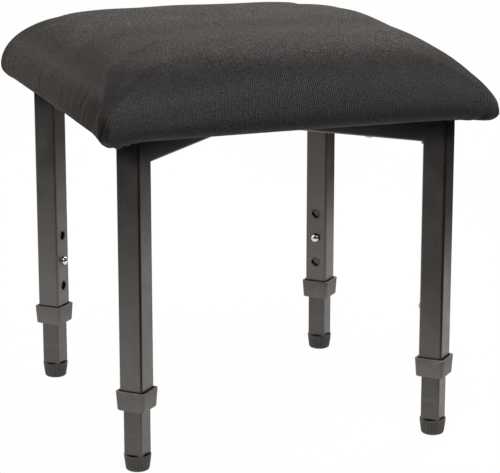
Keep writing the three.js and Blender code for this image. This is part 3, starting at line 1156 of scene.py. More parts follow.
def add_piece(
    name: str, mesh: bpy.types.Mesh, material: bpy.types.Material, body: str,
    stands_for: Sequence[str] = (), sharp_angle: float = 38.0,
) -> bpy.types.Object:
    """Adds a finished mesh to the scene as a piece of the stool.

    Args:
        name: the piece's name.
        mesh: its mesh, in its place.
        material: its finish.
        body: the body that it rides on.
        stands_for: the CAD nodes that it replaces.
        sharp_angle: the angle in degrees from which an edge stays sharp.

    Returns:
        The piece.
    """
    mesh.shade_smooth()
    mesh.set_sharp_from_angle(angle=math.radians(sharp_angle))
    mesh.materials.append(material)
    piece = link(name, mesh)
    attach(piece, body)
    if stands_for:
        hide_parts(*stands_for)
    log.info("%s: %d faces on %s", name, len(mesh.polygons), body)
    return piece


def dress_node(node: str, material: bpy.types.Material) -> None:
    """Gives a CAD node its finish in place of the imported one."""
    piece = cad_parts[node]
    if not piece.material_slots:
        piece.data.materials.append(material)
    for place in piece.material_slots:
        place.material = material
    log.info("%s: CAD node, dressed as %s", node, material.name)


@dataclass
class Leg:
    """One telescopic leg: outer tube, collar, inner tube, snap button and foot."""

    corner: Corner
    hole_radius: float = 0.005
    hole_height: float = 0.1342
    hole_pitch: float = 0.0285

    def __post_init__(self) -> None:
        """Takes the leg's place from its foot's CAD node."""
        low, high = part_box(f"foot_{self.corner.label}")
        middle = (low + high) / 2
        self.upright = Placement((middle.x, middle.y, 0.0), tuple(self.corner.inward))

    def _span(self, node: str) -> Span:
        """The lowest and highest point of one of this leg's CAD nodes."""
        low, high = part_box(f"{node}_{self.corner.label}")
        return low.z, high.z

    def build(self, finishes: "Finishes") -> None:
        """Builds and dresses the whole leg."""
        label = self.corner.label
        moving = f"leg_{label}"
        lower, middle, upper = (
            Hole(0, self.hole_height + step * self.hole_pitch, self.hole_radius) for step in (-1, 0, 1)
        )
        outer = self._span("outer_leg")
        for name, shape, material, body, slot in (
            ("outer_leg", SquareTube(FRAME_TUBE, *outer, (lower, middle, upper)),
             finishes.leg_paint, "frame", Slot.PAINT),
            ("collar", Collar(*self._span("collar"), outer[0]),
             finishes.collar_plastic, "frame", Slot.PLASTIC),
            ("inner_leg", SquareTube(INNER_TUBE, *self._span("inner_leg"), (middle,)),
             finishes.scuffed_paint, moving, Slot.PAINT),
            ("foot", Foot(self._span("foot")[1]), finishes.plastic, moving, Slot.PLASTIC),
            ("snap_button", SnapButton(self.hole_height), finishes.nickel, f"button_{label}", Slot.NICKEL),
        ):
            mesh = shape.skin().mesh(name, self.upright)
            add_piece(f"{name}_{label}_made", mesh, material, body, [f"{name}_{label}"])
        dress_node(f"snap_spring_{label}", finishes.spring)


@dataclass
class RailCross:
    """The crossed rails under the seat, with their welds and the screws up into the board."""

    screw_hole_radius: float = 0.0028
    rim_radius: float = 0.0002
    bead_half: float = 0.0026
    bead_height: float = 0.00208

    def __post_init__(self) -> None:
        """Takes the rails' reach and height from the CAD nodes."""
        leg_low, leg_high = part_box("outer_leg_back_right")
        self.middle = leg_high.z - FRAME_TUBE.half
        screw_low, screw_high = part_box("seat_screw_back_right")
        self.screw_reach = ((screw_low + screw_high) / 2).x * math.sqrt(2)
        self.leg_face = ((leg_low + leg_high) / 2).x * math.sqrt(2) - FRAME_TUBE.half

    def build(self, finishes: "Finishes") -> None:
        """Builds and dresses the rails, the welds and the screws."""
        start = FRAME_TUBE.half + FIT_GAP
        end = self.leg_face - FIT_GAP
        screws = self.screw_reach
        self._rail("rail_long", Corner.FRONT_RIGHT, (-end, end), (-screws, screws), finishes)
        self._rail("rail_half_right", Corner.BACK_RIGHT, (start, end), (screws,), finishes)
        self._rail("rail_half_left", Corner.FRONT_LEFT, (start, end), (screws,), finishes)
        for corner in Corner:
            self._weld(f"weld_{corner.label}", self._leg_beads(corner), finishes)
            self._screw(corner, finishes)
        for corner in (Corner.BACK_RIGHT, Corner.FRONT_LEFT):
            self._weld(f"weld_middle_{corner.label}", self._cross_beads(corner), finishes)

    def _rail(
        self, name: str, corner: Corner, span: Span, screws: tuple[float, ...], finishes: "Finishes",
    ) -> None:
        """Builds one rail, with a screw hole through its lower and upper wall at each screw.

        Args:
            name: the rail's CAD node.
            corner: the corner that it runs to.
            span: where along the diagonal to that corner it starts and ends.
            screws: where along it the screws are.
            finishes: the stool's finishes.
        """
        holes = tuple(Hole(wall, place, self.screw_hole_radius) for place in screws for wall in (0, 2))
        tube = SquareTube(FRAME_TUBE, *span, holes, self.rim_radius)
        along = Placement((0.0, 0.0, self.middle), (0.0, 0.0, -1.0), tuple(-corner.inward))
        add_piece(f"{name}_made", tube.skin().mesh(name, along), finishes.paint, "frame", [name])

    def _rail_end(self, corner: Corner, reach: float) -> tuple[Array, Array, Array]:
        """The middle of a rail's lower edge at a reach, and the directions outwards and beside it."""
        out = -corner.inward
        return out * reach + UP * (self.middle - FRAME_TUBE.half), out, np.cross(UP, out)

    def _leg_beads(self, corner: Corner) -> list[WeldBead]:
        """The beads where a rail meets a leg: one ground smooth up each side, and a fillet below."""
        end, out, beside = self._rail_end(corner, self.leg_face)
        half = FRAME_TUBE.half
        beads = []
        for flank in (-1, 1):
            foot = end + beside * flank * (half - 0.00035) + UP * 0.002
            beads.append(WeldBead(foot, foot + UP * 0.021, out, beside * flank, 0.0030, 0.00045, 0.0))
        large = 2.3 if corner is Corner.FRONT_LEFT else 1.5
        seam = beside * (half - 0.0012)
        axes = (out + UP) * math.sqrt(0.5), (out - UP) * math.sqrt(0.5)
        beads.append(WeldBead(end - seam, end + seam, *axes, self.bead_half * large, self.bead_height))
        return beads

    def _cross_beads(self, corner: Corner) -> list[WeldBead]:
        """The beads where a half rail meets the long rail: one up each side, and a seam below."""
        end, out, beside = self._rail_end(corner, FRAME_TUBE.half)
        half = FRAME_TUBE.half
        beads = []
        for flank in (-1, 1):
            foot = end + beside * flank * (half + 0.0004) + out * 0.0006 + UP * 0.001
            axes = (out - beside * flank) * math.sqrt(0.5), (out + beside * flank) * math.sqrt(0.5)
            beads.append(WeldBead(foot, foot + UP * 0.0225, *axes, self.bead_half * 1.2, self.bead_height))
        seam = beside * (half - 0.001)
        middle = end + UP * 0.0004 - out * 0.0009
        beads.append(WeldBead(middle - seam, middle + seam, out, -UP, 0.0022, 0.0011))
        return beads

    def _weld(self, name: str, beads: list[WeldBead], finishes: "Finishes") -> None:
        """Builds the beads of one joint as a piece."""
        skin = Skin()
        for bead in beads:
            skin.join(bead.skin())
        add_piece(name, skin.mesh(name), finishes.weld_paint, "frame")

    def _screw(self, corner: Corner, finishes: "Finishes") -> None:
        """Builds the screw nearest a corner."""
        node = f"seat_screw_{corner.label}"
        low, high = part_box(node)
        middle = (low + high) / 2
        mesh = Screw(low.z, high.z).skin().mesh(node, Placement((middle.x, middle.y, 0.0)))
        add_piece(f"{node}_made", mesh, finishes.zinc, "frame", [node])


@dataclass(frozen=True)
class PadCorner:
    """How one corner of the pad departs from an even form.

    Drop is how far the crown is pulled down there, sag how far the tip hangs, lift how far the
    underside is raised, fill how much fuller it is, reach how far the tip stands out, hang how far
    the gathered cloth hangs, pleat how deep its pleats are and dark how much painted shade lies in them.
    """

    drop: float
    sag: float
    lift: float
    fill: float
    hang: float
    reach: float = 0.0
    pleat: float = 0.0014
    dark: float = 0.8


@dataclass
class PadForm:
    """The form of the seat pad: a crowned square whose front right corner is pulled down most.

    A ring of the pad is a square with round corners. Going up from the widest line it shrinks by
    the cosine of the crown angle and climbs by its sine, each to its own power, while its corners
    grow rounder. Below the widest line it draws in along a quarter of an ellipse. A lump is a bell
    curve on top of that, given by its X, Y, height and width.
    """

    half_width: float = 0.20154
    corner_radius: float = 0.01
    widest_height: float = 0.3496
    crown_height: float = 0.066
    side_power: float = 6.08
    top_power: float = 1.87
    lower_inset: float = 0.0255
    underside: float = 0.3326
    corner_share: float = 1.03
    draw_in: float = 0.0015
    shift: Span = (-0.0016, 0.0007)
    drop_power: float = 5.74
    reach_power: float = 21.0
    fill_power: float = 30.0
    belly: float = 0.28
    corners: dict[Corner, PadCorner] = field(default_factory=lambda: {
        Corner.FRONT_LEFT: PadCorner(0.0206, 0.0073, 0.001, 0.021, 0.0050, pleat=0.0005, dark=0.05),
        Corner.FRONT_RIGHT: PadCorner(0.0338, 0.0044, 0.0028, 0.049, 0.0006, reach=0.0083),
        Corner.BACK_LEFT: PadCorner(0.0098, 0.0022, 0.016, 0.030, 0.0006),
        Corner.BACK_RIGHT: PadCorner(0.0251, 0.003, 0.004, 0.030, 0.0008),
    })
    lumps: tuple[tuple[float, float, float, float], ...] = (
        (-0.153, 0.151, 0.0020, 0.030), (0.168, 0.034, 0.0037, 0.056),
    )
    inset: float = 0.0

    def levels(self, count: int) -> Array:
        """Levels from the underside, -1, by the widest line, 0, to the top, 1.

        Args:
            count: how many steps there are between them.

        Returns:
            The levels, evenly spaced on the skin.
        """
        fine = np.linspace(-1, 1, 801)
        out, up = self._profile(fine)
        steps = np.hypot(np.diff(out), np.diff(up))
        length = np.concatenate([[0], np.cumsum(steps)])
        return np.interp(np.linspace(0, length[-1], count + 1), length, fine)

    def _profile(self, level: Array) -> tuple[Array, Array]:
        """The half width at the middle of a side and the height above the widest line at each level."""
        crown = np.clip(level, 0, 1) * QUARTER
        lower = np.clip(-level, 0, 1) * QUARTER
        half = self.half_width - self.inset
        drawn = (self.lower_inset - self.inset) * (1 - np.cos(lower))
        out = half * np.cos(crown) ** (2 / self.side_power) - drawn
        drop = (self.widest_height - self.underside - self.inset) * np.sin(lower)
        up = (self.crown_height - self.inset) * np.sin(crown) ** (2 / self.top_power) - drop
        return out, up

    def _ring(self, out: Array, level: Array, along: Array) -> tuple[Array, Array]:
        """Places on the quarter of a ring about its +X side.

        The run along the quarter goes through half a corner, a straight side and half a corner. A
        side is drawn in towards its middle by a bow.

        Args:
            out: half the ring's width.
            level: the ring's level.
            along: the place along the quarter, from -1 to 1.

        Returns:
            The X and the Y.
        """
        base = self.half_width - self.inset
        spread = np.clip(out / base, 0, 1)
        crowned = np.where(level > 0, self.corner_share * (base - out), 0.0)
        radius = np.minimum(out, (self.corner_radius - self.inset) * spread + crowned)
        reach = out - radius
        half_arc = radius * QUARTER / 2
        run = (along + 1) / 2 * (2 * half_arc + 2 * reach)
        safe = np.maximum(radius, 1e-9)
        first = np.clip(run / safe, 0, QUARTER / 2) - QUARTER / 2
        last = np.clip((run - half_arc - 2 * reach) / safe, 0, QUARTER / 2)
        straight = np.clip(run - half_arc, 0, 2 * reach) - reach
        turn = np.where(run < half_arc, first, last)
        share = straight / np.maximum(reach, 1e-9)
        bow = ((1 - share ** 2) / (1 + share ** 2)) ** 2 * (reach > 1e-9)
        return reach + radius * np.cos(turn) - self.draw_in * spread * bow, straight + radius * np.sin(turn)

    def surface(self, side: Array, along: Array, level: Array) -> Array:
        """Points of the pad.

        Args:
            side: the number of the side, from 0 at +X, counterclockwise.
            along: the place along that side's quarter of the ring, from -1 to 1.
            level: the level, from -1 to 1.

        Returns:
            The points, with the shape of the three together and 3 numbers each.
        """
        side, along, level = np.broadcast_arrays(side, along, level)
        out, up = self._profile(level)
        x, y = self._ring(out, level, along)
        cosine, sine = np.cos(side * QUARTER), np.sin(side * QUARTER)
        x, y = x * cosine - y * sine, x * sine + y * cosine
        points = np.stack([x + self.shift[0], y + self.shift[1], self.widest_height + up], axis=-1)
        climb = np.clip(up / (self.crown_height - self.inset), 0, 1)
        self._shape_corners(points, (x, y), out, climb, np.clip(-level, 0, 1) * QUARTER)
        for lump_x, lump_y, height, width in self.lumps:
            points[..., 2] += height * bell(np.hypot(x - lump_x, y - lump_y), width) * climb
        return points

    def _shape_corners(
        self, points: Array, plan: tuple[Array, Array], out: Array, climb: Array, under: Array,
    ) -> None:
        """Moves points near the corners as each corner's own numbers say.

        How near a corner a point lies is a product of its shares of the way out along X and Y, to
        a power: on the whole pad for the crown and the tip, and on its own ring for the fullness.

        Args:
            points: the points, which are changed.
            plan: their X and Y before the pad is shifted.
            out: half the width of their rings.
            climb: how far up the crown they lie, from 0 to 1.
            under: how far they are turned under, as an angle.
        """
        base = self.half_width - self.inset
        turned_under = 1 - np.cos(under)
        full = turned_under + self.belly * np.sin(under) * np.cos(under)
        loose = np.minimum(1 - climb, 1 - np.sin(under))
        for corner, its in self.corners.items():
            ways = [side * place for side, place in zip(corner.value, plan)]
            of_pad, of_ring = (
                np.clip((1 + ways[0] / size) * (1 + ways[1] / size) / 4, 0, None)
                for size in (base, np.maximum(out, TINY))
            )
            at_tip = of_pad ** self.reach_power
            at_corner = of_pad ** self.drop_power
            points[..., 2] -= climb * at_corner * its.drop + loose * at_tip * its.sag
            points[..., 2] += turned_under * at_corner ** 2 * its.lift
            reach = its.reach * at_tip + its.fill * full * of_ring ** self.fill_power
            points += reach[..., None] * -corner.inward


@dataclass
class SeatPad:
    """The seat: a ribbed cover over a foam block on a plywood board, stapled underneath."""

    form: PadForm = field(default_factory=PadForm)
    cover_thickness: float = 0.0015
    opening_half: float = 0.152
    opening_corner: float = 0.012
    top_steps: int = 72
    foam_steps: int = 36
    meridian_steps: int = 49
    hem_steps: int = 6
    crowding: float = 0.7
    foam_inset: float = 0.0055
    held_height: float = 0.004
    staple_length: float = 0.0105
    staple_wire: Span = (0.0006, 0.0004)
    staple_pitch: float = 0.030
    staples_to_side: int = 9

    def build(self, finishes: "Finishes") -> None:
        """Builds and dresses the cover, the foam, the board and the staples."""
        self._cover(finishes)
        self._foam(finishes)
        dress_node("seat_board", finishes.plywood)
        self._staples(finishes)

    def _crowd(self, along: Array) -> Array:
        """Places along a side, drawn towards its ends, where the corners are."""
        return (1 - self.crowding) * along + self.crowding * np.sin(along * QUARTER)

    def _band(self, form: PadForm, steps: int, levels: Array) -> Array:
        """Rows of points round the pad, one for each level, with that many steps to a side."""
        columns = np.arange(4 * steps)
        along = self._crowd((columns % steps) / steps * 2 - 1)
        return form.surface((columns // steps)[None], along[None], levels[:, None])

    def _laid_grids(self) -> tuple[Array, Array]:
        """The grid of the top and the band of the sides.

        The top is a square grid of points u and v: the larger of the two, in size, says how far
        down a point lies, and the other over it says how far along that side. The band has the
        top's rim as its first row, and ends at the underside.

        Returns:
            The top's points and the band's.
        """
        levels = self.form.levels(self.meridian_steps)[::-1]
        rings = self.top_steps // 2
        u, v = np.meshgrid(np.arange(-rings, rings + 1), np.arange(-rings, rings + 1), indexing="ij")
        ring = np.maximum(np.abs(u), np.abs(v))
        side = np.select([(u == ring) & (v > -ring), (v == ring), (u == -ring)], [0, 1, 2], 3)
        along = np.select([side == 0, side == 1, side == 2], [v, -u, -v], u) / np.maximum(ring, 1)
        top = self.form.surface(side, self._crowd(along), levels[ring])
        return top, self._band(self.form, self.top_steps, levels[rings:])

    def _cover(self, finishes: "Finishes") -> None:
        """Builds the cover: the pad's skin, turned in under the board, settled, folded and ribbed."""
        top, band = self._laid_grids()
        skin = Skin().grid(top, closed=False)
        skin.grid(np.concatenate([band, self._hem(band[-1])[1:]]))
        mesh = skin.mesh("cover", closed=False)
        face_out(mesh)
        Settling().run(mesh, self.form.underside + self.held_height)
        mesh = subdivided(mesh)
        Folds(self.form).press(mesh, finishes.cloth.crease_shade_layer)
        lay_ribs(mesh, finishes.cloth.layer, self.form, 4 * finishes.cloth.way_round)
        piece = add_piece(
            "seat_cover_cloth", mesh, finishes.fabric, "frame",
            ["seat_cover"], sharp_angle=80.0,
        )
        thick = piece.modifiers.new("thickness", "SOLIDIFY")
        thick.thickness = self.cover_thickness
        thick.offset = -1.0

    def _hem(self, rim: Array) -> Array:
        """Rows of the hem, from the underside's rim in to the opening.

        Each point goes straight to the nearest place on the opening's round-cornered square, and
        its height above the underside falls off with the cube of the way left.

        Args:
            rim: the points of the underside's rim.

        Returns:
            The rows, of which the first is the rim.
        """
        reach = self.opening_half - self.opening_corner
        inner = np.clip(rim[:, :2], -reach, reach)
        off = rim[:, :2] - inner
        inner = inner + self.opening_corner * off / np.linalg.norm(off, axis=1, keepdims=True)
        share = np.linspace(0, 1, self.hem_steps + 1)[:, None, None]
        flat = rim[None, :, :2] * (1 - share) + inner[None] * share
        lift = (rim[None, :, 2:] - self.form.underside) * (1 - share) ** 3
        return np.concatenate([flat, self.form.underside + lift], axis=-1)

    def _foam(self, finishes: "Finishes") -> None:
        """Builds the foam block, which fills the cover and goes down round the board."""
        low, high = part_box("seat_board")
        form = PadForm(inset=self.foam_inset)
        rows = self._band(form, self.foam_steps, form.levels(self.meridian_steps))
        rim = rows[0]
        square = rim[:, :2] / np.abs(rim[:, :2]).max(axis=1, keepdims=True)
        square = square * ((high.x - low.x) / 2 + FIT_GAP)
        roof = np.full(len(rim), high.z + FIT_GAP)
        recess = [np.column_stack([square * share, roof]) for share in (0.0, 0.5, 1.0)]
        recess.append(np.column_stack([square, rim[:, 2]]))
        mesh = Skin().grid(np.concatenate([np.stack(recess), rows])).mesh("foam")
        piece = add_piece("seat_foam_block", mesh, finishes.foam, "frame", ["seat_foam"])

    def _staples(self, finishes: "Finishes") -> None:
        """Builds the staples: each a flattened wire along the hem, bent up at its two ends."""
        wide, thick = self.staple_wire
        along = np.linspace(-1, 1, 13)[:, None]
        angle = even_angles(8)[None]
        drop = thick * np.sqrt(np.clip(1 - np.abs(along) ** 9, 0, 1))
        taper = np.sqrt(np.clip(1 - along ** 8, 0, 1))
        rng = np.random.default_rng(7)
        skin = Skin()
        middle = (self.form.half_width - self.form.lower_inset + self.opening_half) / 2
        for side in range(4):
            for step in range(-(self.staples_to_side // 2), self.staples_to_side // 2 + 1):
                tilt = rng.normal(0, 0.12)
                shift = rng.normal(0, 0.0012, 2)
                way = along * self.staple_length / 2
                x = middle + shift[0] + tilt * way + wide * taper * np.cos(angle)
                y = step * self.staple_pitch + shift[1] + way + 0 * angle
                z = self.form.underside + 0.0001 - drop + thick * taper * np.sin(angle)
                skin.grid(turned(np.stack([x, y, z], axis=-1), side))
        add_piece("cover_staples", skin.mesh("staples"), finishes.zinc, "frame")


# The cover's cloth


def read_points(mesh: bpy.types.Mesh, what: str = "co") -> Array:
    """The places of a mesh's points, or their outward directions where what is "normal"."""
    flat = np.empty(len(mesh.vertices) * 3)
    mesh.vertices.foreach_get(what, flat)
    return flat.reshape(-1, 3)


def write_points(mesh: bpy.types.Mesh, points: Array) -> None:
    """Moves a mesh's points to new places."""
    mesh.vertices.foreach_set("co", points.ravel())
    mesh.update()


def face_out(mesh: bpy.types.Mesh) -> None:
    """Turns an open skin's faces so that the one at its top looks up."""
    shell = bmesh.new()
    shell.from_mesh(mesh)
    bmesh.ops.recalc_face_normals(shell, faces=shell.faces)
    highest = max(shell.faces, key=lambda face: face.calc_center_median().z)
    if highest.normal.z < 0:
        bmesh.ops.reverse_faces(shell, faces=shell.faces)
    shell.to_mesh(mesh)
    shell.free()


def smoothed(mesh: bpy.types.Mesh, values: Array, rounds: int) -> Array:
    """Values on a mesh's points, mixed half and half with their neighbours' mean in every round."""
    ends = np.empty(len(mesh.edges) * 2, np.int32)
    mesh.edges.foreach_get("vertices", ends)
    first, second = ends.reshape(-1, 2).T
    count = len(mesh.vertices)
    degree = np.bincount(first, minlength=count) + np.bincount(second, minlength=count)
    for _ in range(rounds):
        total = np.bincount(first, values[second], count) + np.bincount(second, values[first], count)
        values = values / 2 + total / degree / 2
    return values


def subdivided(mesh: bpy.types.Mesh) -> bpy.types.Mesh:
    """A copy of a mesh with one smooth subdivision applied."""
    piece = link("dividing", mesh)
    smooth = piece.modifiers.new("smooth", "SUBSURF")
    smooth.levels = 1
    smooth.render_levels = 1
    graph = bpy.context.evaluated_depsgraph_get()
    made = bpy.data.meshes.new_from_object(piece.evaluated_get(graph))
    bpy.data.objects.remove(piece)
    return made


@dataclass(frozen=True)
class Settling:
    """A run of the cover as a cloth that settles over its filling and is held underneath."""

    pressure: float = 4.0
    stiffness: float = 18.0
    shear_stiffness: float = 8.0
    bending_stiffness: float = 0.8
    quality: int = 6
    frames: int = 20
    fold_cap: float = 0.0006
    smoothing: int = 140

    def run(self, mesh: bpy.types.Mesh, held_below: float) -> None:
        """Lets the cloth go under pressure and keeps its folds.

        Of each point's move only the part along its normal is kept, less that part's mean over
        the neighbourhood, so that folds form and the pad's form stays.

        Args:
            mesh: the cover's mesh, which is changed.
            held_below: the height under which the cloth is stapled down.
        """
        before = read_points(mesh)
        normals = read_points(mesh, "normal")
        piece = link("settling", mesh)
        held = piece.vertex_groups.new(name="held")
        held.add([int(i) for i in np.nonzero(before[:, 2] < held_below)[0]], 1.0, "REPLACE")
        cloth = piece.modifiers.new("cloth", "CLOTH")
        for name, value in {
            "vertex_group_mass": "held", "quality": self.quality, "tension_stiffness": self.stiffness,
            "compression_stiffness": self.stiffness, "shear_stiffness": self.shear_stiffness,
            "bending_stiffness": self.bending_stiffness, "use_pressure": True,
            "uniform_pressure_force": self.pressure,
        }.items():
            setattr(cloth.settings, name, value)
        cloth.settings.effector_weights.gravity = 0
        cloth.point_cache.frame_start = 1
        cloth.point_cache.frame_end = self.frames
        scene = bpy.context.scene
        for number in range(1, self.frames + 1):
            scene.frame_set(number)
        settled = piece.evaluated_get(bpy.context.evaluated_depsgraph_get()).to_mesh()
        lift = ((read_points(settled) - before) * normals).sum(axis=1)
        piece.to_mesh_clear()
        bpy.data.objects.remove(piece)
        scene.frame_set(1)
        fold = lift - smoothed(mesh, lift, self.smoothing)
        fold = self.fold_cap * np.tanh(fold / self.fold_cap)
        write_points(mesh, before + normals * fold[:, None])
        log.info("cover settled: folds of %.2f to %.2f mm", 1000 * fold.min(), 1000 * fold.max())


@dataclass(frozen=True)
class Folds:
    """The cover's folds: pulls in its sides above the hem, and gathers under its corners.

    A pull is given by its place along its side, its lean and its depth. The left side's pulls are
    those of the picture, the front has none, and the others are random.
    """

    form: PadForm
    seed: int = 11
    pulls_to_side: int = 9
    left_pulls: tuple[Point, ...] = (
        (0.062, 0.7, 0.5), (0.080, 0.5, 0.5), (0.100, 0.25, 0.6), (0.124, 0.15, 0.4),
        (0.150, 0.30, 0.5), (0.234, 0.0, 0.6), (0.338, -0.2, 0.35), (0.356, -0.3, 0.35),
    )
    pull_depth: float = 0.0008
    pull_dark: float = 0.75
    gather_inset: float = 0.045
    gathers_to_corner: int = 7
    unevenness: float = 0.00035

    def press(self, mesh: bpy.types.Mesh, layer: str) -> None:
        """Presses the folds into the cover.

        Args:
            mesh: the cover's mesh, which is changed.
            layer: the name for the numbers that tell the finish how much painted shade each point gets in the
                folds.
        """
        points = read_points(mesh)
        rng = np.random.default_rng(self.seed)
        moved, crease = self._pulls(points, rng)
        pressed, dark, down = self._gathers(points, rng)
        moved += pressed + self._uneven_top(points)
        made = points + read_points(mesh, "normal") * moved[:, None] - UP * down[:, None]
        write_points(mesh, made)
        numbers = mesh.attributes.new(layer, "FLOAT", "POINT")
        numbers.data.foreach_set("value", np.clip(crease + dark, 0, 1).astype(np.float32))

    def _pulls(self, points: Array, rng: np.random.Generator) -> tuple[Array, Array]:
        """The pulls: each a groove along a leaning line, with a low swell beside it.

        Its depth falls off as a bell curve to either side, and fades out above and below.

        Args:
            points: the cover's points.
            rng: what draws the random pulls.

        Returns:
            How far each point moves outwards, and how much painted shade it gets.
        """
        x, y, z = points.T
        low, widest = self.form.underside, self.form.widest_height
        window = rise(z, low + 0.001, low + 0.007) * rise(z, widest + 0.028, widest + 0.010)
        moved = np.zeros(len(points))
        crease = np.zeros(len(points))
        count = self.pulls_to_side
        given = {(0, -1): self.left_pulls, (1, -1): ()}
        for axis, sign in ((0, -1), (0, 1), (1, -1), (1, 1)):
            run, out = (y, x * sign) if axis == 0 else (x, y * sign)
            drawn = zip(
                np.sort(rng.uniform(0.02, 0.38, count)), rng.normal(0, 0.25, count),
                rng.uniform(0.15, 0.45, count),
            )
            on_side = window * rise(out, 0.17, 0.19)
            for place, lean, depth in given.get((axis, sign), drawn):
                off = run + self.form.half_width - place + lean * (z - low - 0.012)
                groove = bell(off, 0.0022) - 0.45 * bell(off - 0.004, 0.003)
                moved -= self.pull_depth * depth * groove * on_side
                crease += self.pull_dark * depth * bell(off, 0.0030) * on_side
        return moved, crease

    def _gathers(self, points: Array, rng: np.random.Generator) -> tuple[Array, Array, Array]:
        """The gathers: ridges that fan about each corner, which hangs a little where it turns under.

        Args:
            points: the cover's points.
            rng: what draws each fan's first angle.

        Returns:
            How far each point moves outwards, how dark it gets and how far it hangs.
        """
        x, y, z = points.T
        widest = self.form.widest_height
        reach = self.form.half_width - self.gather_inset
        moved, crease, down = (np.zeros(len(points)) for _ in range(3))
        for corner, its in self.form.corners.items():
            px, py = x * corner.value[0] - reach, y * corner.value[1] - reach
            far = np.hypot(np.maximum(px, 0), np.maximum(py, 0))
            turn = np.arctan2(np.maximum(py, TINY), np.maximum(px, TINY)) / QUARTER
            phase = rng.uniform(0, 1)
            ridges = 0.5 + 0.5 * np.cos(2 * math.pi * (turn * self.gathers_to_corner + phase))
            hanging = bell(turn - 0.5, 0.28) * bell(far - 0.035, 0.018)
            down += its.hang * hanging * rise(z, widest - 0.002, widest - 0.014) * (0.3 + 0.7 * ridges)
            pleats = bell(turn - 0.5, 0.30) * rise(far, 0.012, 0.024) * (1 - ridges) ** 2
            moved -= its.pleat * pleats * rise(z, widest + 0.002, widest - 0.010)
            crease += its.dark * pleats * rise(z, widest - 0.007, widest - 0.012)
        return moved, crease, down

    def _uneven_top(self, points: Array) -> Array:
        """How far each point of the top stands out, by a sum of three sine waves."""
        x, y, z = points.T
        waves = np.sin(x * 31 + 1.3) * np.sin(y * 27 + 0.4) + 0.6 * np.sin(x * 57 - y * 43 + 2.0)
        waves += 0.4 * np.sin(x * 83 + y * 71)
        widest = self.form.widest_height
        return self.unevenness * waves * rise(z, widest + 0.02, widest + 0.05)


def lay_ribs(mesh: bpy.types.Mesh, layer: str, form: PadForm, total: float) -> None:
    """Lays the ribs round the sides, in a UV map of the place round the pad and of the steepness.

    Round the pad from its back right corner, a point's place is its side's number plus its share
    along that side, in half widths. At each corner the ribs lean, as the cloth is pulled round it,
    by a bell curve's worth of the depth under the crown. Faces that the count's end crosses take
    the larger count.

    Args:
        mesh: the cover's mesh.
        layer: the UV map's name.
        form: the form of the pad.
        total: the whole way round the pad, a multiple of the distance from rib to rib.
    """
    points = read_points(mesh)
    x, y = points[:, 0] - form.shift[0], points[:, 1] - form.shift[1]
    wide = np.maximum(np.maximum(np.abs(x), np.abs(y)), TINY)
    side = np.select([y >= wide, x <= -wide, y <= -wide], [0, 1, 2], 3)
    share = np.select([side == 0, side == 1, side == 2], [-x, -y, x], y) / wide
    place = (2 * side + share + 1) * total / 8
    corners = np.empty(len(mesh.loops), np.int32)
    mesh.loops.foreach_get("vertex_index", corners)
    sizes = np.empty(len(mesh.polygons), np.int32)
    mesh.polygons.foreach_get("loop_total", sizes)
    face = np.repeat(np.arange(len(sizes)), sizes)
    placed = place[corners]
    highest = np.zeros(len(sizes))
    np.maximum.at(highest, face, placed)
    placed += np.where(highest[face] - placed > total / 2, total, 0.0)
    depth = form.widest_height + 0.03 - points[:, 2]
    for count, lean in {0.0: 0.3, 2.0: 0.3, 3.8: 0.75, 5.9: 0.5, 8.0: 0.3}.items():
        placed += lean * bell(placed - count * total / 8, 0.036) * depth[corners]
    steep = rise(read_points(mesh, "normal")[:, 2], 0.90, 0.45)
    uv_map = mesh.uv_layers.new(name=layer)
    uv_map.data.foreach_set("uv", np.column_stack([placed, steep[corners]]).astype(np.float32).ravel())


class Finishes:
    """Every finish of the stool, made once."""

    def __init__(self, leg_place: float) -> None:
        """Makes the materials, for legs at this distance from the middle in X and in Y."""
        self.paint = PowderCoat().build("black_powder_coat")
        self.leg_paint = PowderCoat(leg_place=leg_place).build("powder_coat_on_legs")
        self.scuffed_paint = PowderCoat(
            colour=(0.011, 0.010, 0.009), dusty=(0.024, 0.0215, 0.0195), index=1.86, scuff_height=0.038,
        ).build("rubbed_powder_coat")
        self.weld_paint = PowderCoat(peel_height=0.0001, gloss_low=0.42).build("powder_coat_on_weld")
        self.plastic = MouldedPlastic().build("black_moulded_plastic")
        self.collar_plastic = MouldedPlastic(
            colour=(0.062, 0.057, 0.053), dusty=(0.105, 0.097, 0.09), index=1.98,
        ).build("collar_plastic")
        self.cloth = RibbedFabric()
        self.fabric = self.cloth.build("charcoal_ribbed_cloth")
        self.foam = OpenFoam().build("open_cell_foam")
        self.plywood = PlainPlywood().build("birch_plywood")
        self.nickel = BareMetal().build("bright_nickel_plate")
        self.spring = BareMetal(
            colour=(0.35, 0.34, 0.33), stain=(0.20, 0.19, 0.18), gloss_low=0.28, gloss_high=0.42,
        ).build("spring_steel_strip")
        self.zinc = BareMetal(
            colour=(0.52, 0.52, 0.50), stain=(0.36, 0.36, 0.33), gloss_low=0.3, gloss_high=0.48,
            stain_share=0.5,
        ).build("zinc_plate")


# The studio


@dataclass(frozen=True)
class Lamp:
    """A square soft lamp: its name, place, width and power."""

    name: str
    place: Point
    width: float
    power: float


@dataclass(frozen=True)
class Card:
    """A black card that gloss sees: its name, its corners, and whether it keeps plain light off."""

    name: str
    corners: Corners
    shades: bool = True

    @classmethod
    def upright(cls, name: str, start: Span, end: Span, height: float) -> "Card":
        """A card that stands on the floor from one place to another."""
        return cls(name, ((*start, 0.0), (*end, 0.0), (*end, height), (*start, height)))


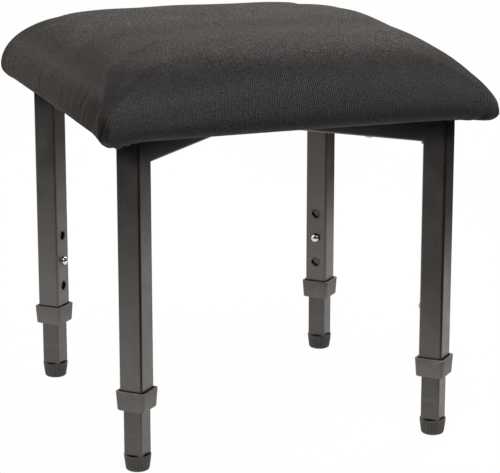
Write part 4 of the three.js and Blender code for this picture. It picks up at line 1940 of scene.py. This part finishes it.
@dataclass
class Studio:
    """The camera, lamps, dark cards and white surroundings."""

    azimuth: float = -19.77
    elevation: float = 14.23
    lens: float = 151.3
    sensor_width: float = 36.0
    distance: float = 2.15533
    target: Point = (-0.00697, -0.06275, 0.2)
    lamp_target: Point = (0.0, 0.0, 0.3)
    floor_half: float = 6.0
    floor_clear: float = 0.98
    world_light: float = 0.55
    lamps: tuple[Lamp, ...] = (
        Lamp("side_softbox", (-1.4, 1.1, 1.5), 1.2, 8.0),
        Lamp("top_softbox", (0.95, 0.60, 1.65), 1.2, 26.0),
        Lamp("front_softbox", (-0.32, -0.95, 2.0), 1.5, 35.0),
    )
    cards: tuple[Card, ...] = (
        Card("dark_ground", (
            (-0.44, -0.305, 0.001), (0.7, -0.36, 0.001), (2.2, -1.5, 0.001), (-2.0, -1.5, 0.001),
        ), shades=False),
        Card.upright("dark_front", (-2.5, -1.5), (1.5, -1.5), 1.2),
        Card.upright("dark_right", (0.8, -1.1), (0.8, 1.0), 0.55),
        Card.upright("dark_left", (-0.85, -1.1), (-0.85, 0.3), 0.6),
    )

    def build(self) -> None:
        """Makes all of the studio."""
        self._camera()
        self._world()
        self._floor()
        for lamp in self.lamps:
            self._hang(lamp)
        for card in self.cards:
            self._stand(card)

    def _camera(self) -> None:
        """Places the camera on the line of sight of the picture."""
        azimuth, elevation = math.radians(self.azimuth), math.radians(self.elevation)
        back = Vector((
            math.sin(azimuth) * math.cos(elevation),
            -math.cos(azimuth) * math.cos(elevation),
            math.sin(elevation),
        ))
        data = bpy.data.cameras.new("camera")
        data.sensor_width = self.sensor_width
        data.lens = self.lens
        data.clip_end = 60.0
        camera = link("camera", data)
        camera.location = Vector(self.target) + back * self.distance
        camera.rotation_mode = "QUATERNION"
        camera.rotation_quaternion = (-back).to_track_quat("-Z", "Y")
        bpy.context.scene.camera = camera

    def _world(self) -> None:
        """Makes the surroundings white to the eye and to gloss, and a plain soft light to the rest."""
        world = bpy.data.worlds.new("white_studio")
        graph = Graph(world, "Background", Color=(1.0, 1.0, 1.0, 1.0))
        graph.drive(Strength=graph.seen() * (1 - self.world_light) + self.world_light)
        bpy.context.scene.world = world

    def _sheet(self, name: str, corners: Corners, material: bpy.types.Material) -> bpy.types.Object:
        """Lays a flat sheet that isn't part of the stool."""
        mesh = bpy.data.meshes.new(name)
        mesh.from_pydata(np.array(corners), [], np.array([[0, 1, 2, 3]]))
        mesh.materials.append(material)
        sheet = link(name, mesh)
        return sheet

    def _floor(self) -> None:
        """Lays a wide white floor that keeps a faint shadow.

        The eye sees through it to the white surroundings, so legs drawn out below it still show.
        """
        graph = Finish("white_floor", Base_Color=(0.9, 0.9, 0.9, 1.0), Roughness=0.9)
        graph.cover(graph.seen() * self.floor_clear, "ShaderNodeBsdfTransparent", {})
        half = self.floor_half
        corners = ((-half, -half, 0.0), (half, -half, 0.0), (half, half, 0.0), (-half, half, 0.0))
        self._sheet("studio_floor", corners, graph.material)

    def _stand(self, card: Card) -> None:
        """Places a card, which the camera doesn't see."""
        finish = Finish(card.name, Base_Color=(0.01, 0.01, 0.01, 1.0), Roughness=0.9)
        sheet = self._sheet(card.name, card.corners, finish.material)
        sheet.visible_camera = False
        sheet.visible_diffuse = card.shades

    def _hang(self, lamp: Lamp) -> None:
        """Hangs a lamp that looks at the seat."""
        data = bpy.data.lights.new(lamp.name, "AREA")
        data.size = lamp.width
        data.energy = lamp.power
        hung = link(lamp.name, data)
        hung.location = lamp.place
        hung.rotation_mode = "QUATERNION"
        look = Vector(self.lamp_target) - Vector(lamp.place)
        hung.rotation_quaternion = look.to_track_quat("-Z", "Y")


def main() -> None:
    """Builds the studio and the stool, from the floor up."""
    logging.basicConfig(level=logging.INFO, format="%(message)s")
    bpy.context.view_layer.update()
    bpy.context.scene.view_settings.view_transform = "Standard"
    Studio().build()
    low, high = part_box("outer_leg_back_right")
    finishes = Finishes((low.x + high.x) / 2)
    for corner in Corner:
        Leg(corner).build(finishes)
    RailCross().build(finishes)
    SeatPad().build(finishes)


if __name__ == "__main__":
    main()
